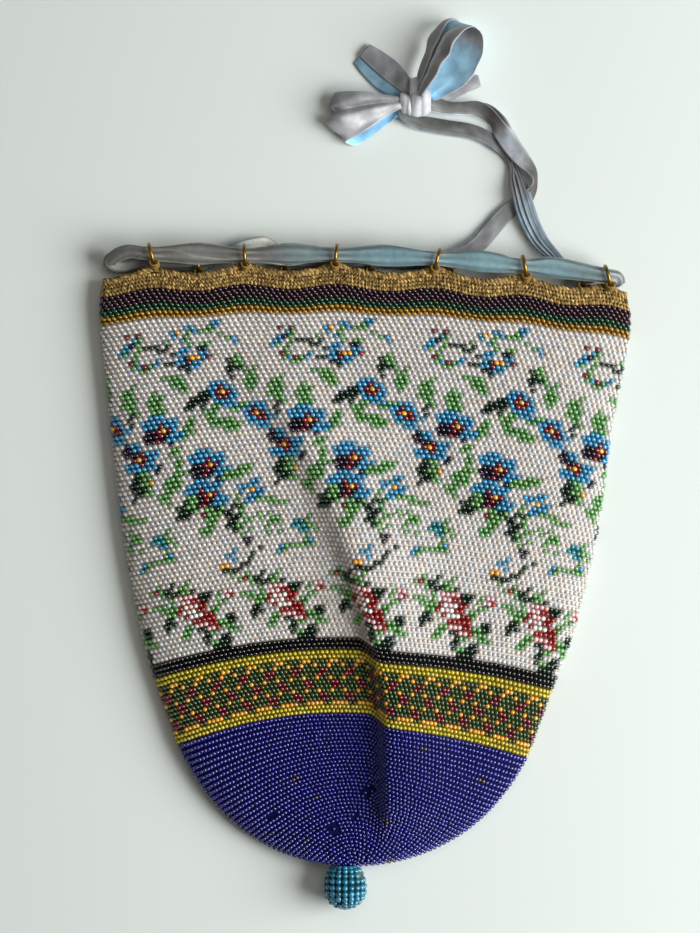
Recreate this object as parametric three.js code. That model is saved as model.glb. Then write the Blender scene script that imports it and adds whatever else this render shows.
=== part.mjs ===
import * as THREE from "three";

// A bead-knitted drawstring reticule lying on its back. Sizes are millimetres:
// X across the bag, Y from the ball up to the rings, Z up from the resting surface.

const table = (columns, rows) =>
  rows.map((row) => Object.fromEntries(columns.split(" ").map((name, i) => [name, row[i]])));

// Knitted pouch: one row of the table per knitted row that sets the shape.
// y, centre, half: where the row's middle lies and half its width lying flat.
// sag, tilt: how far the row's ends hang below its middle, and the right end below that.
// rise: height of the front layer in the middle. edge: height of the side fold.
const WALL = 2.0;
const NAVY_ROW = 96;
const POLE_ROW = 134;
const SECTIONS = table("row y centre half sag tilt rise edge", [
  [0, 86.6, 0.0, 80.25, 4.4, 2.5, 9.4, 4.6],
  [8, 78.75, 0.0, 79.9, 5.4, 2.2, 10.2, 4.2],
  [28, 52.95, -1.2, 75.9, 7.3, 2.2, 11.4, 3.6],
  [49.5, 22.95, -1.5, 72.0, 8.7, 1.2, 12.2, 3.3],
  [70.3, -7.05, -2.4, 65.7, 9.2, 1.1, 12.2, 3.1],
  [78, -17.85, -3.3, 61.8, 10.4, 1.6, 11.8, 3.0],
  [96, -40.65, -3.75, 53.25, 11.7, 1.8, 10.8, 3.0],
]);
const POLE = { x: -3.9, y: -87.2, edge: 6.2 };
const BOTTOM_FULLNESS = 0.68;
const BACK_FLAT = 0.82;

// The long fold pushed up along the middle of the front, steep on its left side. It starts as
// a low swell near the mouth, bends to the right on its way down and grows to its full height.
const RIDGE = { height: 6.2, x: 7.8, lean: 0.125, curl: 0.00255, bend: -37, left: 3.4, spread: 0.045, right: 19 };
const RIDGE_FADE = { top: 40, full: -8, low: -62, end: -85 };
const SWELL = { share: 0.6, top: 74, full: 38 };
const STEP = { depth: 3.2, top: 22, full: -20 };

// Knitted silk heading and the scallops its rings pull up.
const HEADING = { height: 4.9, wall: 1.8, taper: 1.0, ruffle: 0.55, gap: 0.3 };
const SCALLOP = { height: 0.8, rows: 14 };

// Brass rings sewn along the heading: the way each is turned and how far its thread lifts it.
const RING = { radius: 2.95, wire: 0.55, gap: 0.3, frontZ: 8.65, backZ: 3.7 };
const FRONT_RINGS = table("x turn rise", [
  [-63.9, 16, 1.47],
  [-36.0, 4, 0],
  [-8.7, -6, 0],
  [21.6, -14, 0],
  [47.7, 10, 0],
  [72.6, 14, 0],
]);
const BACK_RINGS = table("x turn rise", [
  [-50.1, 5, 0],
  [-23.4, -12, 0],
  [1.5, 6, 0],
  [24.9, 10, 0],
  [66.3, -20, 0],
]);

// Beaded ball at the bottom.
const BALL = { x: -6.0, y: -93.8, radius: 6.75, halfLength: 6.2 };

// Silk ribbon: the drawn part in the rings, the two strands, and the bow.
const RIBBON = { thick: 1.7, ringWidth: 3.8, freeWidth: 6.2, backWidth: 4.4, frontThick: 1.9 };
const LEFT_TURN = table("x y z width", [
  [-66.5, 94.2, 3.9, 4],
  [-73.2, 93.2, 4.2, 3.8],
  [-76.6, 94.4, 5.9, 3.8],
  [-71.6, 97.2, 8.3, 4.4],
]);
const RIGHT_TURN = table("x y z width", [
  [77.0, 90.4, 8.3, 3.6],
  [79.0, 89.6, 6.2, 3.4],
  [76.0, 90.4, 4.0, 3.4],
  [72.0, 90.9, 3.7, 3.6],
]);
const RIGHT_END = table("x y z width", [
  [62.5, 92.0, 3.6, 4.0],
  [59.2, 95.0, 3.2, 4.2],
]);
const STRAND_LEFT = table("x y z width", [
  [31.4, 98.3, 2.8, 4.4],
  [34.4, 100.4, 1.6, 4.8],
  [37.3, 103.7, 1.1, 4.8],
  [39.9, 106.8, 1.1, 4.8],
  [42.5, 109.6, 1, 4.6],
  [45.2, 111.9, 1, 4.4],
  [48.2, 114.1, 1.1, 4.4],
  [50.4, 116.8, 1.6, 4.2],
  [51, 119.4, 2.2, 4],
  [50, 122.2, 2.7, 4.2],
  [47.2, 125.7, 3.1, 4.8],
  [44.2, 129.6, 3.1, 5.2],
  [42, 133.2, 3, 5.4],
  [40.3, 136.6, 2.8, 5.4],
  [37.4, 139.6, 2.5, 4.8],
  [33.6, 141, 2.2, 4],
  [29.2, 141, 2.1, 3.8],
  [25.2, 141.4, 2.3, 3.8],
  [21.8, 142, 2.7, 4],
]);
const STRAND_RIGHT = table("x y z width", [
  [55.8, 97.6, 3, 3.6],
  [53, 100.6, 2.4, 4.4],
  [50.3, 105.2, 2.6, 4.8],
  [48.3, 110.2, 3.6, 5],
  [46.9, 115.4, 3.5, 4.6],
  [45.8, 119.9, 2.2, 3.6],
  [44.6, 124, 1.2, 3],
  [42.6, 127.2, 1, 3.2],
  [39.4, 130.2, 1.1, 3.8],
  [35.7, 132.6, 1.2, 4],
  [31.1, 134.2, 1.2, 4],
  [25.9, 135, 1.2, 4.2],
  [20.8, 135.8, 1.3, 4.2],
  [15.6, 136.8, 1.6, 4],
  [11.4, 138.6, 2.2, 3.8],
]);
const KNOT = { x: 15.3, y: 142.7, z: 3.3, length: 10.0, width: 6.6, height: 6.2 };
const BOW_THICK = 1.2;
const LOOP_LEFT = table("x y z width", [
  [9.4, 142.4, 4.6, 4.6],
  [5.0, 141.6, 5.4, 7.2],
  [0.0, 140.4, 5.9, 9.8],
  [-5.0, 138.8, 5.4, 11.6],
  [-8.6, 137.4, 3.7, 12.2],
  [-5.6, 137.8, 1.6, 12.0],
  [0.0, 139.0, 1.1, 10.0],
  [5.0, 140.2, 1.5, 7.0],
  [9.6, 141.4, 2.3, 4.6],
]);
const LOOP_LEFT_ACROSS = [-0.26, 0.966, 0];
const LOOP_RIGHT = table("x y z width", [
  [16.6, 146.6, 6.0, 5.6],
  [18.2, 151.2, 7.2, 8.0],
  [21.4, 157.8, 7.6, 9.6],
  [25.2, 162.9, 7.2, 9.8],
  [28.8, 164.8, 6.2, 9.6],
  [31.6, 163.4, 5.2, 9.4],
  [32.4, 159.0, 4.6, 9.4],
  [30.2, 153.8, 4.4, 9.0],
  [26.2, 149.4, 3.9, 7.4],
  [21.8, 146.4, 3.6, 5.0],
]);
const LOOP_RIGHT_ACROSS = [0.47, -0.29, 0.834];
const TAIL_LONG = table("x y z width", [
  [11.2, 146.0, 3.0, 4.4],
  [8.1, 149.0, 2.2, 6.2],
  [3.9, 152.9, 1.5, 8.0],
  [-0.9, 156.6, 1.1, 9.0],
]);
const TAIL_SHORT = table("x y z width", [
  [22.4, 144.9, 0.9, 2.6],
  [26.1, 146.0, 0.8, 3.0],
  [30.6, 147.6, 0.8, 3.4],
  [33.4, 148.9, 0.9, 3.2],
]);

const FRONT_STEPS = 38;
const BACK_STEPS = 16;
const OUTER_ROWS = [
  0, 2.5, 5, 8, 13, 18, 23, 28, 34, 40, 45, 50, 55, 60, 65, 70, 74, 78, 82, 86, 91, 96, 101, 106, 111, 116,
  120, 124, 127.5, 130.5, 132.5,
];
const INNER_ROWS = [0, 5, 13, 23, 34, 45, 55, 65, 74, 82, 91, 101, 111, 120, 127, 131.5];
const HEADING_LEVELS = [0, 0.35, 0.7, 1];

const lerp = (a, b, t) => a + (b - a) * t;
const smooth = (from, to, value) => {
  const t = Math.min(1, Math.max(0, (value - from) / (to - from)));
  return t * t * (3 - 2 * t);
};

// Values of the section table at any row, on a smooth curve through its rows.
function sectionAt(row) {
  let i = 0;
  while (i < SECTIONS.length - 2 && row > SECTIONS[i + 1].row) i += 1;
  const [a, b] = [SECTIONS[i], SECTIONS[i + 1]];
  const before = SECTIONS[Math.max(i - 1, 0)];
  const after = SECTIONS[Math.min(i + 2, SECTIONS.length - 1)];
  const span = b.row - a.row;
  const t = (row - a.row) / span;
  const value = {};
  for (const key of Object.keys(a)) {
    const slopeA = ((b[key] - before[key]) / (b.row - before.row)) * span;
    const slopeB = ((after[key] - a[key]) / (after.row - a.row)) * span;
    value[key] =
      a[key] * (1 + 2 * t) * (1 - t) ** 2 +
      slopeA * t * (1 - t) ** 2 +
      b[key] * t * t * (3 - 2 * t) +
      slopeB * t * t * (t - 1);
  }
  return value;
}

// Scallop of the heading: highest at each front ring, lowest midway between two.
function scallop(x) {
  const last = FRONT_RINGS.length - 1;
  let i = 0;
  while (i < last - 1 && x > FRONT_RINGS[i + 1].x) i += 1;
  const part = (x - FRONT_RINGS[i].x) / (FRONT_RINGS[i + 1].x - FRONT_RINGS[i].x);
  return SCALLOP.height * Math.cos(2 * Math.PI * part);
}

function ridgeAt(x, y) {
  const up = Math.max(0, y - RIDGE.bend);
  const d = x - (RIDGE.x - RIDGE.lean * up - RIDGE.curl * up * up);
  const width = d < 0 ? RIDGE.left + RIDGE.spread * up : RIDGE.right;
  const low = smooth(RIDGE_FADE.end, RIDGE_FADE.low, y);
  const swell = SWELL.share * smooth(SWELL.top, SWELL.full, y);
  const along = low * (swell + (1 - SWELL.share) * smooth(RIDGE_FADE.top, RIDGE_FADE.full, y));
  const carried = low * smooth(STEP.top, STEP.full, y) * smooth(-7, 0, d);
  return {
    lift: RIDGE.height * along * Math.exp(-((d / width) ** 2)),
    step: STEP.depth * carried * Math.exp(-((Math.max(0, d) / 45) ** 2)),
  };
}

// Point of the pouch at a knitted row and s from -1 (left fold) to 1 (right fold).
// Above the navy end rows are arched lines; below it they close in on the pole.
function pouchPoint(s, row, front, inset) {
  const section = sectionAt(Math.min(row, NAVY_ROW));
  const t = Math.max(0, (row - NAVY_ROW) / (POLE_ROW - NAVY_ROW));
  const half = section.half - inset;
  let x = section.centre + half * s;
  let y = section.y - section.sag * s * s - section.tilt * s;
  y += scallop(x) * (1 - smooth(0, SCALLOP.rows, row));
  if (t > 0) {
    const poleY = POLE.y + inset;
    const midX = section.centre + BOTTOM_FULLNESS * half * s;
    const midY = lerp(y, poleY, 0.5 + 0.5 * s * s);
    x = x * (1 - t) ** 2 + 2 * midX * t * (1 - t) + POLE.x * t * t;
    y = y * (1 - t) ** 2 + 2 * midY * t * (1 - t) + poleY * t * t;
  }
  const edge = lerp(section.edge, POLE.edge, smooth(0.55, 1, t));
  if (front) {
    const dome = Math.sqrt(Math.max(0, (1 - s ** 4) * (1 - t ** 3)));
    const ridge = ridgeAt(x, y);
    const swell = section.rise - section.edge - inset + ridge.lift;
    return new THREE.Vector3(x, y - ridge.step * dome, edge + swell * dome);
  }
  const side = Math.max(0, (Math.abs(s) - BACK_FLAT) / (1 - BACK_FLAT));
  const end = Math.max(0, (t - BACK_FLAT) / (1 - BACK_FLAT));
  const flat = Math.sqrt(Math.max(0, 1 - side * side - end * end));
  return new THREE.Vector3(x, y, edge - (edge - inset) * flat);
}

// Point of the heading at a level from 0 (sewn edge) to 1 (top edge).
function headingPoint(s, level, front, inset) {
  const section = SECTIONS[0];
  const half = section.half - HEADING.taper * level - inset;
  const x = section.centre + half * s;
  const base = section.y - section.sag * s * s - section.tilt * s + scallop(x);
  const y = base + HEADING.gap + (HEADING.height - HEADING.gap) * level;
  const wave = (HEADING.ruffle * level * scallop(x)) / SCALLOP.height;
  if (front) {
    const dome = Math.sqrt(Math.max(0, 1 - s ** 4));
    return new THREE.Vector3(x, y, section.edge + (section.rise - inset - section.edge - wave) * dome);
  }
  const side = Math.max(0, (Math.abs(s) - BACK_FLAT) / (1 - BACK_FLAT));
  const flat = Math.sqrt(Math.max(0, 1 - side * side));
  return new THREE.Vector3(x, y, section.edge - (section.edge - inset) * flat);
}

// One closed ring of points: along the front from left to right, back under it.
function ringOfPoints(pointAt) {
  const spread = (t) => 0.5 * t + 0.5 * Math.sin((Math.PI / 2) * t);
  const points = [];
  for (let i = 0; i <= FRONT_STEPS; i += 1) points.push(pointAt(spread((2 * i) / FRONT_STEPS - 1), true));
  for (let i = 1; i < BACK_STEPS; i += 1) points.push(pointAt(spread(1 - (2 * i) / BACK_STEPS), false));
  return points;
}

// Skin over a run of point rings. The ends close on a point each, or on each other.
function skin(rings, startPoint, endPoint) {
  const count = rings[0].length;
  const positions = rings.flat();
  const faces = [];
  const quad = (a, b, c, d) => faces.push([a, b, c], [a, c, d]);
  const joins = startPoint ? rings.length - 1 : rings.length;
  for (let r = 0; r < joins; r += 1) {
    const next = (r + 1) % rings.length;
    for (let i = 0; i < count; i += 1) {
      const j = (i + 1) % count;
      quad(r * count + i, r * count + j, next * count + j, next * count + i);
    }
  }
  if (startPoint) {
    const last = (rings.length - 1) * count;
    const start = positions.push(startPoint) - 1;
    const end = positions.push(endPoint) - 1;
    for (let i = 0; i < count; i += 1) {
      const j = (i + 1) % count;
      faces.push([start, j, i], [end, last + i, last + j]);
    }
  }
  let volume = 0;
  for (const [a, b, c] of faces) {
    volume += positions[a].dot(new THREE.Vector3().crossVectors(positions[b], positions[c]));
  }
  const geometry = new THREE.BufferGeometry();
  geometry.setAttribute("position", new THREE.Float32BufferAttribute(positions.flatMap((p) => p.toArray()), 3));
  geometry.setIndex((volume > 0 ? faces : faces.map(([a, b, c]) => [a, c, b])).flat());
  geometry.computeVertexNormals();
  return geometry;
}

function pouchGeometry() {
  const ringAt = (inset) => (row) => ringOfPoints((s, front) => pouchPoint(s, row, front, inset));
  const outer = OUTER_ROWS.map(ringAt(0)).reverse();
  const inner = INNER_ROWS.map(ringAt(WALL));
  return skin(
    [...outer, ...inner],
    new THREE.Vector3(POLE.x, POLE.y, POLE.edge),
    new THREE.Vector3(POLE.x, POLE.y + WALL, POLE.edge),
  );
}

function headingGeometry() {
  const ringAt = (inset) => (level) => ringOfPoints((s, front) => headingPoint(s, level, front, inset));
  const outer = HEADING_LEVELS.map(ringAt(0));
  const inner = HEADING_LEVELS.map(ringAt(HEADING.wall)).reverse();
  return skin([...outer, ...inner]);
}

// Middle of a ring: it stands on the heading's top edge, clear of it.
function ringCentre({ x, rise }, front) {
  const section = SECTIONS[0];
  const s = x / (section.half - HEADING.taper);
  const top = headingPoint(s, 1, true, 0).y;
  const outerRadius = RING.radius + RING.wire;
  return new THREE.Vector3(x, top + RING.gap + rise + outerRadius, front ? RING.frontZ : RING.backZ);
}

function ringGeometry(ring, front) {
  const geometry = new THREE.TorusGeometry(RING.radius, RING.wire, 6, 14);
  geometry.rotateY(Math.PI / 2).rotateZ(THREE.MathUtils.degToRad(ring.turn));
  const centre = ringCentre(ring, front);
  return geometry.translate(centre.x, centre.y, centre.z);
}

// Flat band along a route of points with its width at each. The width lies level
// across the route, or along a given direction.
function bandGeometry(route, steps, thick, acrossDirection) {
  const curve = new THREE.CatmullRomCurve3(route.map((p) => new THREE.Vector3(p.x, p.y, p.z)), false, "centripetal");
  const up = new THREE.Vector3(0, 0, 1);
  const rings = [];
  for (let i = 0; i <= steps; i += 1) {
    const t = i / steps;
    const at = t * (route.length - 1);
    const k = Math.min(Math.floor(at), route.length - 2);
    const width = lerp(route[k].width, route[k + 1].width, at - k);
    const centre = curve.getPoint(t);
    const along = curve.getTangent(t);
    const across = acrossDirection
      ? new THREE.Vector3(...acrossDirection)
      : new THREE.Vector3().crossVectors(up, along).normalize();
    const through = new THREE.Vector3().crossVectors(along, across).normalize();
    const section = [];
    for (let k8 = 0; k8 < 8; k8 += 1) {
      const angle = ((k8 + 0.5) * Math.PI) / 4;
      const [c, n] = [Math.cos(angle), Math.sin(angle)];
      section.push(
        centre
          .clone()
          .addScaledVector(across, (Math.sign(c) * Math.sqrt(Math.abs(c)) * width) / 2)
          .addScaledVector(through, (Math.sign(n) * Math.sqrt(Math.abs(n)) * thick) / 2),
      );
    }
    rings.push(section);
  }
  const middle = (ring) => ring.reduce((sum, p) => sum.add(p), new THREE.Vector3()).divideScalar(ring.length);
  return skin(rings, middle(rings[0]), middle(rings[steps]));
}

// Route of the drawn ribbon: back rings right to left, round the left end, front
// rings left to right, round the right end and out of the last back ring.
function drawstringRoute() {
  const at = (ring, front) => ({ ...vectorOf(ringCentre(ring, front)), width: RIBBON.ringWidth });
  const between = (a, b, width) => ({ x: (a.x + b.x) / 2, y: (a.y + b.y) / 2 + 0.3, z: (a.z + b.z) / 2, width });
  const withMiddles = (points, width) =>
    points.flatMap((p, i) => (i === 0 ? [p] : [between(points[i - 1], p, width), p]));
  const backRun = BACK_RINGS.slice(0, -1).reverse().map((ring) => at(ring, false));
  const frontRun = FRONT_RINGS.map((ring) => at(ring, true));
  const start = { x: backRun[0].x + 4.2, y: backRun[0].y + 0.4, z: RING.backZ, width: RIBBON.backWidth };
  return [
    start,
    ...withMiddles(backRun, RIBBON.backWidth),
    ...LEFT_TURN,
    ...withMiddles(frontRun, RIBBON.freeWidth),
    ...RIGHT_TURN,
    at(BACK_RINGS[BACK_RINGS.length - 1], false),
    ...RIGHT_END,
  ];
}

const vectorOf = ({ x, y, z }) => ({ x, y, z });

function ballGeometry() {
  return new THREE.SphereGeometry(1, 16, 10)
    .scale(BALL.radius, BALL.halfLength, BALL.radius)
    .translate(BALL.x, BALL.y, BALL.radius);
}

function knotGeometry() {
  return new THREE.SphereGeometry(0.5, 12, 8)
    .rotateZ(Math.PI / 2)
    .scale(KNOT.length, KNOT.width, KNOT.height)
    .translate(KNOT.x, KNOT.y, KNOT.z);
}

const material = (color, roughness, metalness) => new THREE.MeshStandardMaterial({ color, roughness, metalness });
const beadedKnit = material(0xb4adb2, 0.35, 0);
const tanSilk = material(0xa8824e, 0.75, 0);
const agedBrass = material(0x9a7838, 0.4, 1);
const shotSilk = material(0x949cac, 0.5, 0);
const turquoiseBeads = material(0x2090a8, 0.3, 0);

const reticule = new THREE.Group();
reticule.name = "reticule";
function add(name, geometry, finish) {
  const mesh = new THREE.Mesh(geometry, finish);
  mesh.name = name;
  reticule.add(mesh);
}

add("pouch", pouchGeometry(), beadedKnit);
add("heading", headingGeometry(), tanSilk);
FRONT_RINGS.forEach((ring, i) => add(`ring_front_${i + 1}`, ringGeometry(ring, true), agedBrass));
BACK_RINGS.forEach((ring, i) => add(`ring_back_${i + 1}`, ringGeometry(ring, false), agedBrass));
add("bead_ball", ballGeometry(), turquoiseBeads);
add("ribbon_drawn", bandGeometry(drawstringRoute(), 116, RIBBON.frontThick), shotSilk);
add("ribbon_strand_left", bandGeometry(STRAND_LEFT, 28, RIBBON.thick), shotSilk);
add("ribbon_strand_right", bandGeometry(STRAND_RIGHT, 28, RIBBON.thick), shotSilk);
add("bow_knot", knotGeometry(), shotSilk);
add("bow_loop_left", bandGeometry(LOOP_LEFT, 16, BOW_THICK, LOOP_LEFT_ACROSS), shotSilk);
add("bow_loop_right", bandGeometry(LOOP_RIGHT, 20, BOW_THICK, LOOP_RIGHT_ACROSS), shotSilk);
add("bow_tail_long", bandGeometry(TAIL_LONG, 8, BOW_THICK), shotSilk);
add("bow_tail_short", bandGeometry(TAIL_SHORT, 6, 1.0), shotSilk);

export default reticule;
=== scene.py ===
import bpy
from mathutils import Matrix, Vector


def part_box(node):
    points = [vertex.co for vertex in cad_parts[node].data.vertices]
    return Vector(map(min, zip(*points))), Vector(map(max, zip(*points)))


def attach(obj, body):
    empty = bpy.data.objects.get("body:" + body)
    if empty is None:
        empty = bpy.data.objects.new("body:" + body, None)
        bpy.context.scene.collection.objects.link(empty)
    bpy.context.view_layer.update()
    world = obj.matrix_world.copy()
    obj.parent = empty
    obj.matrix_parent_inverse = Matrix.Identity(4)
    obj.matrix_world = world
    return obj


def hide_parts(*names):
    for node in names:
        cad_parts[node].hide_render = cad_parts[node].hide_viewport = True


bl_info = {
    "name": "Beaded reticule",
    "version": (1, 0, 0),
    "blender": (4, 5, 0),
    "location": "View3D > Sidebar > Reticule",
    "description": "Builds a bead-knitted drawstring reticule over its packed frame",
    "category": "Add Mesh",
}

import bpy
import numpy as np

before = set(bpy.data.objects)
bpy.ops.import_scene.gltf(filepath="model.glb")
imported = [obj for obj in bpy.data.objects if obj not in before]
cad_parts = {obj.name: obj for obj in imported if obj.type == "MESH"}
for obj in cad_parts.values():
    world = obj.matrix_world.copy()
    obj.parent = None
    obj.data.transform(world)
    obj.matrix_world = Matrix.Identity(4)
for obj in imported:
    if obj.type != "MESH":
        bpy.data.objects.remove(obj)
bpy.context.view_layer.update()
MM = 0.001
# Least height of anything above the surface, in millimetres.
CLEAR = 0.02

# Shape of the pouch in millimetres, row by knitted row, as the frame has it.
COLUMNS = ("row", "y", "centre", "half", "sag", "tilt", "rise", "edge")
SECTIONS = np.array([
    [0, 86.6, 0.0, 80.25, 4.4, 2.5, 9.4, 4.6],
    [8, 78.75, 0.0, 79.9, 5.4, 2.2, 10.2, 4.2],
    [28, 52.95, -1.2, 75.9, 7.3, 2.2, 11.4, 3.6],
    [49.5, 22.95, -1.5, 72.0, 8.7, 1.2, 12.2, 3.3],
    [70.3, -7.05, -2.4, 65.7, 9.2, 1.1, 12.2, 3.1],
    [78, -17.85, -3.3, 61.8, 10.4, 1.6, 11.8, 3.0],
    [96, -40.65, -3.75, 53.25, 11.7, 1.8, 10.8, 3.0],
])
WALL = 2.0
NAVY_ROW, POLE_ROW = 96, 136
POLE_X, POLE_Y, POLE_EDGE = -3.9, -87.2, 6.2
# Fullness of the bottom's columns, where its edge starts to rise, and how much of the back lies flat.
BOTTOM_FULLNESS = 0.68
EDGE_TURN = 0.55
BACK_FLAT = 0.82
# The long fold: height, way of its crest, widths on both sides, and where it begins and ends.
RIDGE_HEIGHT, RIDGE_X, RIDGE_LEAN, RIDGE_CURL, RIDGE_BEND = 6.2, 7.8, 0.125, 0.00255, -37.0
RIDGE_LEFT, RIDGE_SPREAD, RIDGE_RIGHT = 3.4, 0.045, 19.0
RIDGE_TOP, RIDGE_FULL, RIDGE_LOW, RIDGE_END = 40.0, -8.0, -62.0, -85.0
# Its low part near the mouth, and how far it carries the rows down and over what width.
SWELL_SHARE, SWELL_TOP, SWELL_FULL = 0.6, 74.0, 38.0
STEP, STEP_TOP, STEP_FULL, STEP_RAMP, STEP_REACH = 3.2, 22.0, -20.0, 7.0, 45.0
# Waves of the mouth and of the heading that is sewn on it.
SCALLOP, SCALLOP_ROWS = 0.8, 14
HEADING_SEAM, HEADING_HEIGHT, HEADING_TAPER, HEADING_RUFFLE = 0.3, 4.9, 1.0, 0.55

FRONT_RINGS = [f"ring_front_{i}" for i in range(1, 7)]
BACK_RINGS = [f"ring_back_{i}" for i in range(1, 6)]


def ring_centre(node):
    """Middle of a ring's box in the frame, in millimetres."""
    low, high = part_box(node)
    return (np.array(low) + np.array(high)) / 2 / MM


RING_X = np.array([ring_centre(node)[0] for node in FRONT_RINGS])

# Knitting: stitches round the bag and on its front, the share of a stitch that each row starts
# further on, the chart's column at the left fold, and a stitch's width at the bottom.
STITCHES = 189
FRONT_STITCHES = 93.5
ROW_SHIFT = 0.37
FIRST_CELL, CELL_DRIFT = -45.3, -0.041
NAVY_STITCH = 1.2
# Rows of the flowered field, and the row that the charts are counted from.
FIELD_ROW, FIELD_ROWS, CHART_ROW = 8, 70, 64

# Bands above and below the flowered field, a letter a row, a dash for the trellis.
TOP_BANDS = "aaaacchh"
LOW_BANDS = "xxxyy" + "-" * 11 + "yy"
TRELLIS = [
    "eeeeoo",
    "oeeoee",
    "erreee",
    "erreee",
    "oeeoee",
    "eeeerr",
    "eeeerr",
    "oeeoee",
    "erreee",
    "erreee",
    "oeeooo",
]

# Small charts of the flowered field, one letter a bead, a dot for the ground.
CHARTS = {
    "sprig": [".bb.kk.", "bb..bb.", "bkoobr.", "bbrbb..", "kdbb...", ".d....."],
    "ring": [".bbb..", "bbrbb.", "brorb.", "bbrrbb", ".bbbb.", "..bbb."],
    "dark": ["..bbb...", "bbbbbbb.", "bbbrbbb.", ".kkrorb.", "kkkrkbbb", ".kkrkbbb", ".....k.."],
    "shade": [".kbb...", "kkbb...", "kkkrbbb", "..rorbb", "bbbrbb.", "bbbbbbk", "...bb.k"],
    "plain": ["..bb.", "bbbb.", "b.obb", ".bbb.", ".bb.."],
    "tall": ["..g", ".gg", "ggg", "ggg", "ggg", ".gg", ".dg", ".d.", ".d."],
    "broad": [".g.", "ggg", "ggg", "ggg", "ggg"],
    "slim": [".g.", "gg.", "gg.", "ggg", "gg.", "g.."],
    "slant": ["gggg..", ".ggg..", "..ggg.", "...gg."],
    "night": ["...dd.", "..dddd", ".dddd.", "dd.d.."],
    "spear": ["..g.", ".dgg", ".dgg", "dddg", ".d..", ".d.."],
    "pair": [".g", "gg", "gg", "gg", "g."],
    "level": ["ggggg..", ".gggggg", "...ggg."],
    "knee": [".gg", "ggg", "gg."],
    "fork": [".ggg", "ggg.", "..gg"],
    "dusk": [".dgg.", "ddgg.", "ddggo", "dddg.", "ddgg.", "d...."],
    "wide": ["...ggg", "..ggg.", ".gggg.", ".ggg..", "ggg...", "gg....", ".g...."],
    "stalk": ["gg.", "gg.", ".g.", "gg.", ".g.", "ggg"],
    "hem": ["..gg", ".dgg", "ddgg", "dddg", "ddd."],
    "claw": [".gg.g", ".rggg", ".ggg.", ".gg..", "ggg..", "gg..."],
    "inky": [".dd", "dd.", "ddd", "dd.", "ddd", ".d."],
    "lift": ["...ggg", ".ggggg", "gggg.."],
    "vine": ["g..", "g..", ".g.", ".g.", ".g.", ".gg", "gg.", "g.g", "g.."],
    "spray": ["gggg...", "..gggg.", ".......", "g.g....", "g.gg...", "..ggg..", ".g.....", ".g.g..."],
    "star": [".tt", "ttt", ".tt"],
    "hook": [
        "......g.", "......g.", "......gg", ".......g", "......g.", ".....gb.", "bgggggg.", "bg......",
    ],
    "twig": [
        ".....kk..", ".....k...", "..b....d.", ".bb...d..", "..b..d...",
        "oo..dd...", "dddd.....", ".g.......",
    ],
    "curl": [
        ".r.r...", "..bg...", ".bkg...", "bb.gddd", "bg.g...", "..g....", ".rg...b", "..gbrgb", "...gg..",
    ],
    "dash": [".g..", ".d..", "dd..", "..d.", "....", ".dd."],
    "buds": [
        ".......bb...", "...bb..gb...", "bo.gbggg....", "b.g.....g...", "..bg......gb", "...g.gg....b",
    ],
    "rose": [
        ".g..d..g..........",
        "gRgdd.gg..........",
        "..gdddggd.........",
        "...g.ppppddd.gpp..",
        "ggg.g.ppRRdd.g.pR.",
        ".ggggRwpwRR..gg...",
        "...ggRwpwRR.gg....",
        "..dd..RwwwRRg.....",
        ".ddd...RRRRR..dd..",
        "..d...ggpppRRggdd.",
        ".....gg.ddppRggg..",
        "....gg...dgg..ggg.",
        ".........dd..dd...",
        ".........dggddd...",
        "..........dddd....",
    ],
}

# Where the charts lie: name, first column and first row of one repeat.
GARLAND_STITCHES = 27
GARLAND = [
    ("buds", -6, -55), ("curl", -15, -53), ("dash", -8, -51), ("sprig", -5, -49), ("spear", 3, -47),
    ("slim", -20, -44), ("slant", -8, -43), ("tall", -16, -42), ("ring", 0, -41), ("broad", -11, -40),
    ("night", -5, -39), ("knee", -1, -36), ("fork", 4, -36), ("ring", -21, -36), ("dark", -13, -35),
    ("pair", -5, -34), ("level", -1, -33), ("stalk", -8, -28), ("shade", -17, -30), ("dark", -5, -27),
    ("dusk", -16, -24), ("wide", -11, -23), ("lift", 1, -23), ("dark", -6, -21), ("plain", 4, -20),
    ("hem", -8, -18), ("claw", -4, -15), ("inky", 1, -15), ("vine", 3, -17), ("spray", -20, -16),
    ("star", -14, -11), ("hook", -17, -12), ("twig", -1, -8),
]
ROSE_STITCHES = 18
ROSES = [("rose", -25, -1)]
ROSES_END = 133

# Bead colours by chart letter.
BEAD_COLOURS = {
    ".": "#D0CAC7", "b": "#4298C6", "t": "#2A8C98", "g": "#6CA45E", "d": "#0A2C1A", "k": "#200C2A",
    "r": "#741420", "R": "#A01A16", "o": "#EAA436", "p": "#F8BEC2", "w": "#FFFAF0",
    "a": "#361828", "c": "#15482A", "h": "#A27618", "x": "#080406", "y": "#C2AE28", "e": "#42582A",
    "n": "#1B1B80", "m": "#4A3826",
}
# Silk between the clear beads; under coloured ones the silk is their colour at a fifth, painted shade
# in the gaps between the beads; and the inside.
PALE_GROUND = (0.66, 0.61, 0.58)
GROUND_PAINTED_SHADE = 0.2
INNER_SILK = "#5A4E46"
# Navy beads gone brown and patches where most are lost: x, y and radius.
BROWN_SPOTS = np.array([
    [34.5, -61.2, 0.9], [7.3, -85.0, 0.9], [6.1, -72.5, 0.9], [-20.8, -60.5, 0.9], [-14.6, -65.5, 0.8],
    [-17.4, -79.0, 0.8], [17.4, -51.0, 0.9],
])
LOST_SPOTS = np.array([
    [-27.5, -72.2, 1.7], [-9.9, -74.9, 2.3], [1.0, -63.6, 2.2], [-26.3, -53.8, 1.2], [-3.7, -71.4, 1.4],
])
LOST_SHARE = 0.6


def linear(code):
    """sRGB hex code to linear red, green and blue."""
    value = np.array([int(code[i:i + 2], 16) for i in (1, 3, 5)]) / 255
    return np.where(value <= 0.04045, value / 12.92, ((value + 0.055) / 1.055) ** 2.4)


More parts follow.
